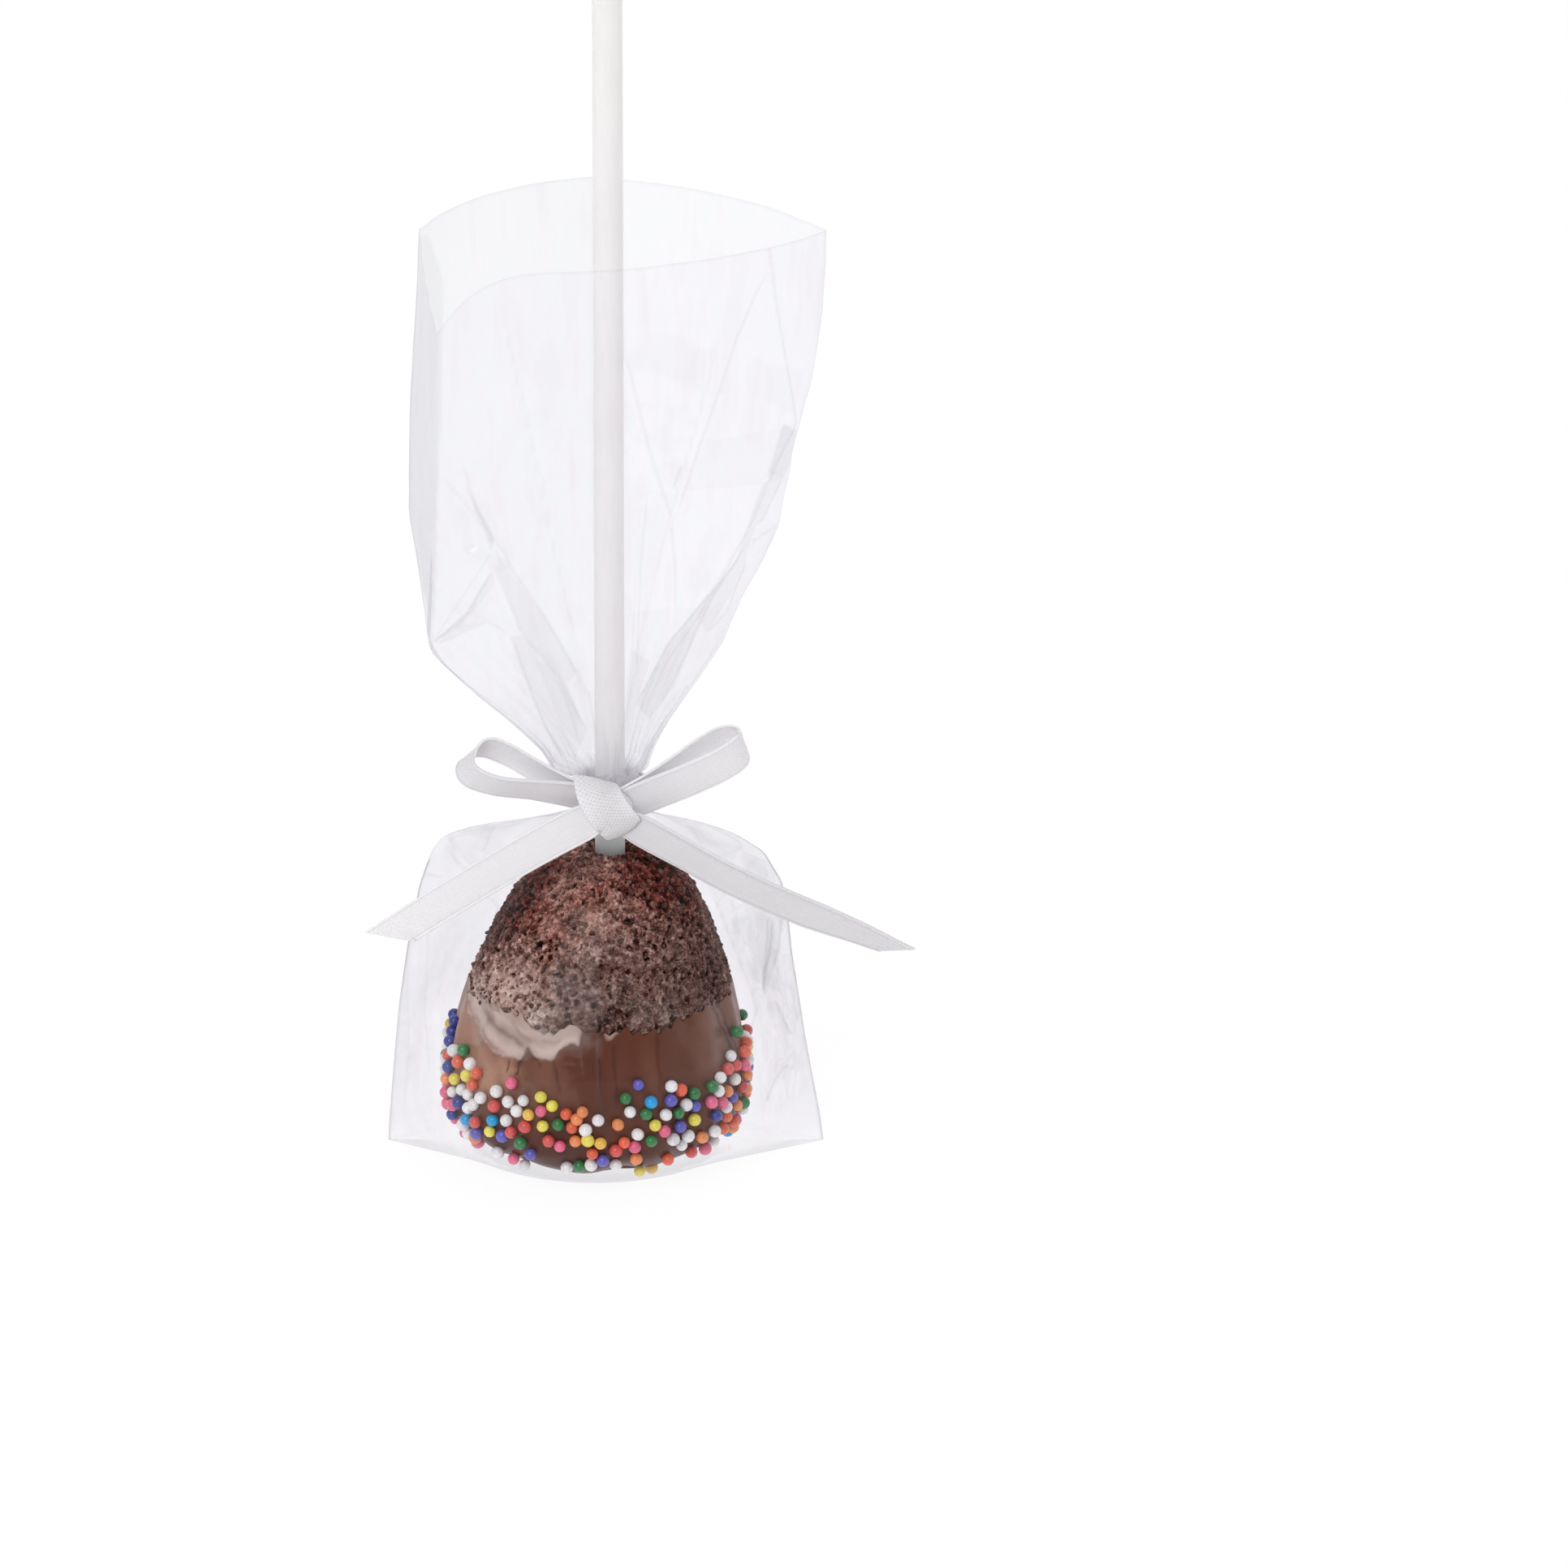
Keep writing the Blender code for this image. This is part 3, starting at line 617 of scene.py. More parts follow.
def crumbMaterial():
    material, tree, shader, where = newMaterial("looseCrumb", Roughness=0.85)
    fine = noiseNode(tree, where, 1500.0, 4.0, 0.65)
    colour = ramp(tree, fine, [(0.3, (0.03, 0.012, 0.009)), (0.5, (0.12, 0.052, 0.038)),
                               (0.72, (0.34, 0.19, 0.14))])
    dress(tree, shader, colour, fine, 0.00008, 0.7)
    return material


def makeCrumbs(facts):
    material = crumbMaterial()
    values = {"Density": facts["density"], "Smallest": facts["smallest"] * mm,
              "Largest": facts["largest"] * mm, "Roughness": facts["roughness"] * mm,
              "Seed": facts["seed"]}
    mesh = growMesh("looseCrumbs", cakeDome.data.copy(), crumbTree(material), values)
    addPiece("looseCrumbs", mesh, material, "cake")


makeCrumbs(crumbFacts)


# Milk chocolate coat: a cup round the lower half of the cake

coatFacts = {
    "base": 0.7,
    "profile": [(0.7, 13), (1.5, 15), (2.8, 17), (5, 18.9), (8, 19.85), (11.5, 20), (16.5, 19.45),
                (20, 18.7), (22.5, 18.05), (25, 17.6)],
    "rim": 22.4,
    "rimPlan": [(-180, 22.5), (-150, 23.6), (-127, 23.4), (-118, 21.8), (-110, 21.5), (-103, 22.8),
                (-90, 22.3), (-68, 21.9), (-60, 22), (-44, 22.8), (-33, 23), (0, 22.2), (60, 22.8),
                (120, 22), (180, 22.5)],
    "rimJag": 0.6,
    "rimTeeth": 0.85,
    "lip": 0.16,
    "lipRings": 6,
    "gap": 0.12,  # to the cake
    "columns": 560,
    "ringSpacing": 0.29,
    "hiddenRings": [20.0, 17.0, 13.0, 9.0, 6.0, 4.0, 2.8, 2.0],  # against the cake
    "drip": 0.7,
    "dripFade": (0.7, 4.0),
    "sag": 0.10,
    "clung": [  # painted glare: the chocolate is painted pale where the film over it reflects the light
        (0.64, [(-19, 25), (-19, 20.7), (-17.4, 19.4), (-15.8, 18.1), (-14.2, 17.3), (-11.5, 17.9),
                (-10.7, 19.3), (-9.8, 18.7), (-7.8, 18.3), (-6.6, 19.7), (-5.3, 20.6), (-4.2, 20.7),
                (-3.6, 22), (-3.4, 25)]),
        (0.50, [(-0.5, 24.5), (1.8, 24.5), (1.4, 22.3), (0.2, 21.3), (-0.4, 21.6)]),
    ],
    "streaks": [  # lighter and darker lines drawn in the painted glare: strength, width, path
        (0.30, 0.55, [(-18.3, 23.2), (-17.2, 21.2), (-15.6, 19.6), (-13.6, 18.4), (-11.6, 18.7)]),
        (0.26, 0.45, [(-10.2, 19.8), (-8.8, 19.2), (-7.4, 19.4), (-6.2, 20.8), (-4.6, 21.4)]),
        (0.20, 0.40, [(-15.2, 22.6), (-13.2, 21.9), (-11.2, 21.4), (-9.4, 21.4)]),
        (-0.40, 0.42, [(-16.2, 22), (-14.9, 20.9), (-13, 20.1), (-11.8, 19.9)]),
        (-0.35, 0.26, [(-18.9, 21.8), (-17.9, 20.4), (-16.6, 19.2), (-15.2, 18.2)]),
        (-0.25, 0.24, [(-12.9, 22), (-12, 21), (-10.6, 20.6)]),
        (-0.25, 0.20, [(-8.6, 21), (-7.4, 20.4), (-6.6, 20.9)]),
    ],
    "satin": [  # painted light and sheen: broad tan areas, most on the left, where the light falls on the chocolate and shines off it
        (0.72, [(-24, 22), (-18.9, 22.4), (-17.4, 19.8), (-15, 17.5), (-12.4, 16), (-14.5, 12.4),
                (-19.6, 11), (-24, 13)]),
        (0.20, [(-16, 18), (-6.5, 19.4), (-4.5, 13), (-12, 8), (-20, 9)]),
        (0.07, [(4.5, 25), (22, 25), (22, 12), (10, 10), (5, 14)]),
        (0.12, [(11, 25), (22, 25), (22, 13), (13, 14)]),
        (0.16, [(14.6, 26), (22, 26), (22, 15), (17.4, 15)]),
    ],
    "grooveGain": 1.6,
    "grooves": [  # painted shade along creases: strength, width, path
        (0.5, 0.16, [(-10.8, 19.5), (-12, 17.1), (-12.4, 15.6)]),
        (0.5, 0.14, [(-10.8, 19.5), (-9.2, 17.5)]),
        (0.4, 0.14, [(-13.2, 17.5), (-13.6, 15.7)]), (0.4, 0.16, [(-3.9, 21.3), (-3.4, 19.4)]),
        (0.3, 0.22, [(-7.5, 18.6), (-6.6, 14.3)]), (0.4, 0.16, [(-1.4, 22.4), (-1.2, 11)]),
        (0.5, 0.14, [(13.2, 24.3), (13.9, 21.9), (15, 19.1), (16.1, 16.2), (17, 13.8)]),
        (0.5, 0.12, [(13.8, 24.3), (14.6, 21.9), (15.6, 19.1), (16.6, 16.2), (17.4, 13.8)]),
        (0.3, 0.30, [(0.6, 20.4), (0.9, 12.6)]), (0.25, 0.22, [(6.2, 21.4), (6.8, 14)]),
    ],
}
coatRadius = smoothCurve(coatFacts["profile"])


def rimAt(angle):
    facts = coatFacts
    rim = np.interp(np.degrees(angle), *np.array(facts["rimPlan"]).T)
    ring = ringPoints(angle, 8.0, 3.0)
    return rim + noiseAt(ring, 1.3) * facts["rimJag"] + noiseAt(ring, 0.42, 5.0) * facts["rimTeeth"]


def chocolateMaterial():
    material, tree, shader, where = newMaterial("milkChocolate", Specular_IOR_Level=0.22)
    broad = noiseNode(tree, stretched(tree, where, (1.0, 1.0, 0.45)), 130.0)
    colour = ramp(tree, broad, [(0.3, (0.088, 0.022, 0.009)), (0.52, (0.114, 0.031, 0.014)),
                                (0.75, (0.150, 0.047, 0.026))])
    # painted sheen, painted glare and painted shade are mixed into the chocolate's colour
    for area, paint in (("satin", (0.48, 0.265, 0.180, 1.0)), ("cling", (0.66, 0.51, 0.44, 1.0)),
                        ("groove", (0.035, 0.006, 0.002, 1.0))):
        colour = blended(tree, valueOf(tree, area), colour, paint)
    rough = ranged(tree, noiseNode(tree, where, 900.0, 4.0, 0.55), toRange=(0.27, 0.42))
    tree.links.new(rough, shader.inputs["Roughness"])
    dress(tree, shader, colour, noiseNode(tree, where, 420.0, 4.0), 0.00006, 0.5)
    return material


def makeCoat(facts):
    base, lip, gap = facts["base"], facts["lip"], facts["gap"]
    turn = circle(facts["columns"], -math.pi)
    rim = rimAt(turn)
    share = evenHeights(coatRadius, base, facts["rim"], facts["ringSpacing"]) - base
    height = base + (share / (facts["rim"] - base))[:, None] * (rim - lip - base)
    outer = ringPoints(turn, coatRadius(height) * fluteAt(turn), height, leanAt(height))
    drip = noiseAt(ringPoints(turn, 5.0, 0.0), 2.2) * facts["drip"]
    foot = (drip * (1 - smoothStep(*facts["dripFade"], height)))[:, :, None]
    outer = outer + gridNormals(outer) * (foot + noiseAt(outer, 6.0)[:, :, None] * facts["sag"])
    outer[0, :, 2] = base
    inner = turned(cakeRadius, [facts["rim"]], turn, gap)[0]
    edge = []
    for a in np.linspace(0.0, math.pi / 2, facts["lipRings"] + 1)[1:]:  # the edge turns over on to the cake
        ring = outer[-1] + (inner - outer[-1]) * np.array([1 - math.cos(a)] * 2 + [0.0])
        ring[:, 2] = rim - lip * (1 - math.sin(a))
        edge.append(ring)
    under = turned(cakeRadius, facts["hiddenRings"], turn, gap)
    under[-1, :, 2] = cakeFacts["base"] - gap
    centre = np.array([leanAt(base), 0.0, base])
    floorRings = [centre + (outer[0] - centre) * part for part in (0.35, 0.7)]
    grid = np.concatenate([np.array(floorRings), outer, np.array(edge), under])
    mesh = gridMesh("chocolateCoat", grid, first=(leanAt(base), 0, base),
                    last=(leanAt(2.0), 0, cakeFacts["base"] - gap))
    front = 1 - smoothStep(-0.5, 6.0, grid[:, :, 1])
    bent = grid + 0.3 * noiseAt(grid, 1.2, 17.0)[:, :, None]

    def marked(width, path):
        far = lineDistance(bent[:, :, 0], bent[:, :, 2], path)[0]
        return np.exp(-(far / width) ** 2) * front

    # painted glare, with lighter and darker streaks
    cling = zoned(grid, front, facts["clung"], 0.16, 0.35)
    for strength, width, path in facts["streaks"]:
        cling += strength * marked(width, path) * (cling > 0.1)
    # painted shade: darker towards the foot of the chocolate, and along the creases
    groove = 0.5 * (1 - smoothStep(1.5, 9.0, grid[:, :, 2]))
    for strength, width, path in facts["grooves"]:
        groove += facts["grooveGain"] * strength * marked(width, path)
    # painted light and sheen
    satin = zoned(grid, front, facts["satin"], 1.8, 0.8)
    mottle = 1 + 0.25 * noiseAt(grid * (1.0, 1.0, 0.4), 2.4, 41.0)
    addValues(mesh, cling=np.clip(cling * mottle, 0.0, 0.9), satin=np.clip(satin * mottle, 0.0, 0.9),
              groove=np.clip(groove, 0.0, 0.8))
    addPiece("chocolateCoat", mesh, chocolateMaterial(), "coat")


makeCoat(coatFacts)


# Sugar balls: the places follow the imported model's rule, and Geometry Nodes puts a ball on each

ballFacts = {
    "radius": 0.90,
    "drawnRadius": 0.92,  # to the corners of a ball of 80 faces
    "proud": 0.62,
    "spacing": 1.66,
    "footGap": 0.08,  # from the lowest balls to the table
    "count": 360,
    "tries": 9000,
    "seen": {  # balls that stand out in front: mm right of the stick and mm up the picture
        "white": [(-21.1, 12.3), (-20.5, 7.1), (-19.2, 6.5), (-17.3, 6.1), (-15.5, 7), (-13.9, 5.6),
                  (-11.5, 5.8), (-12.5, 4.4), (-1.5, 3.2), (-3.2, 1.9), (-14.2, 3.1), (-19.2, 4.7),
                  (2.9, 4.3), (8.3, 7.7), (10.6, 5.2), (7.5, 3.9), (3.9, 1.3), (14.8, 8.8), (14.5, 7),
                  (14.4, 0.2), (17.2, 8.5), (-15.3, -1.3), (-11.9, -2.9), (-5.9, -3.2), (0.9, -2.8),
                  (-2.5, -2.8), (10, -0.2), (10.9, 1), (8.6, 0.6), (14, 1.6), (17.1, 2.8), (18.4, 6),
                  (18.4, 11)],
        "blue": [(-22.2, 16.2), (-22.3, 14.8), (-22, 13.5), (-21.7, 10.1), (14.2, 3.7)],
        "violet": [(4, 7.9), (8.2, 5.8), (11.8, 5), (9.7, 2.3), (-14.8, 1), (-10.6, -1.4), (-0.9, -2.2),
                   (16.9, 6.1)],
        "vermilion": [(-20.8, 10.8), (-17.8, 9.4), (-18.4, 7.8), (-5.9, 4), (-5.1, 2.2), (9.8, 7.2),
                      (2.1, 0.2), (-2.3, -1.3), (8, -2.1), (15.7, 1.9)],
        "yellow": [(-21.2, 8.5), (-19.6, 9), (-9.2, 6.3), (-7.8, 5.1), (-9, 2.4), (6.1, 2.5), (4.1, -3.7),
                   (-16.3, 1.6), (-2.9, 0.5), (11.7, 3.2), (18.7, 3.5)],
        "pink": [(-13.4, 8.1), (-9.2, 4.4), (18, 10.3), (13.6, 5.5), (15.1, 5.4), (3.5, -0.4),
                 (-6.8, -0.3), (-13.4, -2.1), (7.3, 1.7), (12.9, -0.8)],
        "orange": [(-4.4, 3.3), (-3.6, 4.3), (1.2, 2.6), (16.2, 6.9), (3.7, -2), (-4.6, 0.4), (12.5, 0.8),
                   (17.3, 5)],
        "golden": [(-10.8, 3.9), (5.8, -3.7), (-1.2, 0.1)],
        "red": [(-15.8, 5), (16.3, 9.9), (-13.5, 1.5), (-11.3, 2.3), (-18, 2.8), (-4.9, 2), (-8.3, 0.4),
                (0.9, -0.9), (11.2, -1.2)],
        "green": [(-7, 2.6), (2.3, 6.1), (11.7, 6.7), (9.4, 4.1), (5, 4), (5.6, 0.4), (13.7, 7.6),
                  (4.4, 3.2), (-12, 0.1), (-4.1, -3)],
        "cyan": [(-16, 3.1), (-19.8, 3.1), (5.6, 5.6)],
    },
    "touching": 1.32,  # listed balls may lie this near
    "bareFoot": 0.9,  # how much the lowest part is left without balls
    "keepClear": (-17.5, 15.5, 20),  # x, x and height: in front, this part has only the listed balls
    "bandTop": 16.3,
    "dip": 5.6,
    "dipAt": math.radians(-98),
    "dipWidth": math.radians(26),
    "strays": [math.radians(a) for a in (-18, 47, 112, 150)],
    "strayRise": 1.6,
    "seed": 11,
    "colours": {
        "white": ((0.97, 0.96, 0.94), 27), "pink": ((0.92, 0.16, 0.30), 12),
        "red": ((0.76, 0.100, 0.085), 12), "vermilion": ((0.92, 0.15, 0.065), 10),
        "orange": ((0.96, 0.32, 0.105), 10), "yellow": ((0.94, 0.83, 0.11), 9),
        "golden": ((0.94, 0.56, 0.09), 4), "green": ((0.030, 0.22, 0.060), 8),
        "violet": ((0.13, 0.12, 0.54), 5), "blue": ((0.030, 0.045, 0.33), 4),
        "cyan": ((0.012, 0.38, 0.76), 2),
    },
}


def ballPlace(angle, height, proud):
    out, up = outwardAt(coatRadius, height)
    radius = coatRadius(height) * fluteAt(angle)
    away = Vector((out * math.cos(angle), out * math.sin(angle), up))
    centre = Vector((leanAt(height) + radius * math.cos(angle), radius * math.sin(angle), height))
    return centre + away * proud, away


def seenPlace(x, rise, proud):  # where the camera sees a ball, brought back on to the coat
    tilt = math.radians(cameraFacts["elevation"])
    height = max(1.5, rise + 5.0)
    for step in range(30):
        reach = float(coatRadius(height)) + proud
        angle = -math.acos(max(-1.0, min(1.0, (x - leanAt(height)) / reach)))
        place, away = ballPlace(angle, height, proud)
        miss = rise - place.z * math.cos(tilt) - place.y * math.sin(tilt)
        height = max(1.2, min(20.0, height + 0.6 * miss))
    place.z = max(place.z, ballFacts["radius"] + ballFacts["footGap"])
    return place, away


def ballPlaces(facts):
    draw = random.Random(facts["seed"])
    places = []
    dyes = []

    def crowded(place):
        return any((place - other).length < facts["spacing"] for other, away in places)

    def bandTop(angle):
        off = math.remainder(angle - facts["dipAt"], 2 * math.pi) / facts["dipWidth"]
        return facts["bandTop"] - facts["dip"] * math.exp(-off * off)

    for dye, spots in facts["seen"].items():
        for x, rise in spots:
            place, away = seenPlace(x, rise, facts["proud"])
            if all((place - other).length > facts["touching"] for other, facing in places):
                places.append((place, away))
                dyes.append(dye)
    byHand = len(places)
    low, high, upTo = facts["keepClear"]
    lowest = coatFacts["base"] + facts["radius"] + facts["footGap"]
    tries = 0
    while len(places) < facts["count"] and tries < facts["tries"]:
        tries += 1
        angle = draw.uniform(-math.pi, math.pi)
        height = draw.uniform(1.0, facts["bandTop"] + 1.0)
        room = bandTop(angle) - height
        bare = facts["bareFoot"] * (1 - smoothStep(0.5, 5.5, height))
        if room < 0 or draw.random() > min(1.0, 0.25 + room / 3.0) * (1 - bare):
            continue
        place, away = ballPlace(angle, height, facts["proud"])
        byHandOnly = place.y < 0 and low < place.x < high and place.z < upTo
        if byHandOnly or place.z < lowest or crowded(place):
            continue
        places.append((place, away))
    for angle in facts["strays"]:
        place, away = ballPlace(angle, bandTop(angle) + facts["strayRise"], facts["proud"])
        if not crowded(place):
            places.append((place, away))
    print("placed", byHand, "sugar balls by hand and", len(places) - byHand, "by the rule")
    return places, dyes


def ballTree(material):
    tree, given, end = newTree("sugarBalls", [("Radius", "NodeSocketFloat", 0.001)])
    ball = put(tree, "GeometryNodeMeshIcoSphere", {"Radius": given["Radius"], "Subdivisions": 2})
    scatter(tree, end, material, given["Geometry"], ball, named(tree, "FLOAT_VECTOR", "ballTurn"),
            named(tree, "FLOAT_VECTOR", "ballScale"))
    return tree


def sugarMaterial():
    material, tree, shader, where = newMaterial("colouredSugar", Roughness=0.25, Specular_IOR_Level=0.6)
    dye = put(tree, "ShaderNodeAttribute", attribute_name="ballColour").outputs["Color"]
    specks = noiseNode(tree, where, 2600.0, 3.0, 0.6)
    shade = ramp(tree, specks, [(0.3, [0.80] * 3), (0.6, [1.0] * 3), (0.8, [1.12] * 3)])
    dress(tree, shader, blended(tree, 1.0, dye, shade, "MULTIPLY"), specks, 0.00005, 0.5)
    return material


def makeBalls(facts):
    places, chosen = ballPlaces(facts)
    draw = random.Random(facts["seed"] + 1)
    carrier = bpy.data.meshes.new("ballPoints")
    carrier.from_pydata([place * mm for place, away in places], [], [])
    names = list(facts["colours"])
    weights = [facts["colours"][name][1] for name in names]
    chosen += draw.choices(names, weights, k=len(places) - len(chosen))
    dyes, scales, turns = [], [], []
    for name in chosen:
        dye = facts["colours"][name][0]
        shade = draw.uniform(0.9, 1.08)
        dyes += [min(1.0, value * shade) for value in dye] + [1.0]
        size = draw.uniform(0.88, 1.01)
        scales += [size * draw.uniform(0.96, 1.04) for axis in range(3)]
        turns += [draw.uniform(0.0, 6.28) for axis in range(3)]
    for name, kind, key, values in (("ballColour", "FLOAT_COLOR", "color", dyes),
                                    ("ballScale", "FLOAT_VECTOR", "vector", scales),
                                    ("ballTurn", "FLOAT_VECTOR", "vector", turns)):
        carrier.attributes.new(name, kind, "POINT").data.foreach_set(key, values)
    material = sugarMaterial()
    mesh = growMesh("sugarBalls", carrier, ballTree(material), {"Radius": facts["drawnRadius"] * mm})
    addPiece("sugarBalls", mesh, material, "coat")


makeBalls(ballFacts)


# Clear film. A crease lifts the film along a line, with straight flanks that fade out at the ends,
# and leaves a thin line where the film is stretched. Doubled film, and painted shade on facets that turn
# from the light, are areas with outlines of their own.

filmFacts = {
    "lineWidth": 0.19,
    "lineMilk": 0.10,
    "mostMilk": 0.21,  # loose film stays clearer than this
    "tightMilk": 0.45,  # film gathered so tightly that its cloud passes this is milky all the same
    "milk": (0.92, 0.92, 0.94, 1.0),
    "rippleScale": 240.0,
    "rippleHeight": 0.0002,
    "roughness": 0.08,
}


def creased(grid, front, facts):  # lift and line strength; a crease is (lift, reach, line, path)
    lift, line = np.zeros((2, *grid.shape[:2]))
    creases = [(front, crease) for crease in facts["creases"]]
    creases += [(1 - front, crease) for crease in facts["backCreases"]]
    for share, (height, reach, strength, path) in creases:
        far, along = lineDistance(grid[:, :, 0], grid[:, :, 2], path)
        fade = np.clip(8 * np.minimum(along + 0.02, 1.02 - along), 0.0, 1.0) * share
        lift += height * np.exp(-far / reach) * fade
        line += strength * np.exp(-(far / filmFacts["lineWidth"]) ** 2) * fade
    return lift, line


def doubled(grid, front, facts, soft):
    return zoned(grid, front, facts["doubles"], soft) + zoned(grid, 1 - front, facts["backDoubles"], soft)


def mixedShader(tree, share, first, second):
    return put(tree, "ShaderNodeMixShader", {"Fac": share, 1: first.outputs[0], 2: second.outputs[0]})


def filmMaterial(name, facts, clear, cool, edge):
    material, tree, shader, where = newMaterial(name)
    tree.nodes.remove(shader)
    line = valueOf(tree, "filmLine")
    cloud = times(tree, valueOf(tree, "filmHaze"), facts["haze"])
    facing = put(tree, "ShaderNodeLayerWeight", {"Blend": 0.5}).outputs["Facing"]
    streak = noiseNode(tree, stretched(tree, where, (1.0, 1.0, 0.15)), 360.0, 2.0)
    mixture = plus(tree, times(tree, noiseNode(tree, where, 60.0, 2.0), 0.4), times(tree, streak, 0.6))
    deep = [value * 0.978 for value in clear]
    tint = ramp(tree, mixture, [(0.40, deep), (0.46, clear), (0.54, cool), (0.60, clear)])
    through = blended(tree, calc(tree, "POWER", facing, 2.6), tint, (*edge, 1.0))
    # darker where the film lies double, and painted shade where its facets turn from the light
    darken = minus(tree, 1.0, times(tree, line, facts["lineDark"]), valueOf(tree, "filmDouble"))
    thin = put(tree, "ShaderNodeBsdfTransparent", {"Color": vectorCalc(tree, "SCALE", through, darken)})
    milky = mixedShader(tree, 0.5, put(tree, "ShaderNodeBsdfDiffuse", {"Color": filmFacts["milk"]}),
                        put(tree, "ShaderNodeBsdfTranslucent", {"Color": filmFacts["milk"]}))
    milk = plus(tree, cloud, times(tree, line, filmFacts["lineMilk"]))
    milk = calc(tree, "MINIMUM", milk, filmFacts["mostMilk"])
    milk = calc(tree, "MAXIMUM", milk, minus(tree, cloud, filmFacts["tightMilk"]))
    ripple = noiseNode(tree, where, filmFacts["rippleScale"], 3.0, 0.55)
    bump = put(tree, "ShaderNodeBump",
               {"Height": ripple, "Distance": filmFacts["rippleHeight"], "Strength": 0.35})
    gloss = put(tree, "ShaderNodeBsdfGlossy", {"Color": (1, 1, 1, 1), "Roughness": filmFacts["roughness"],
                                               "Normal": bump.outputs["Normal"]})
    share = plus(tree, times(tree, calc(tree, "POWER", facing, 3.0), facts["grazing"]), facts["mirror"])
    surface = mixedShader(tree, share, mixedShader(tree, milk, thin, milky), gloss)
    tree.links.new(surface.outputs[0], tree.nodes["Material Output"].inputs["Surface"])
    return material


# Pouch: the film is drawn round the cake and flat out to the bag's two side folds

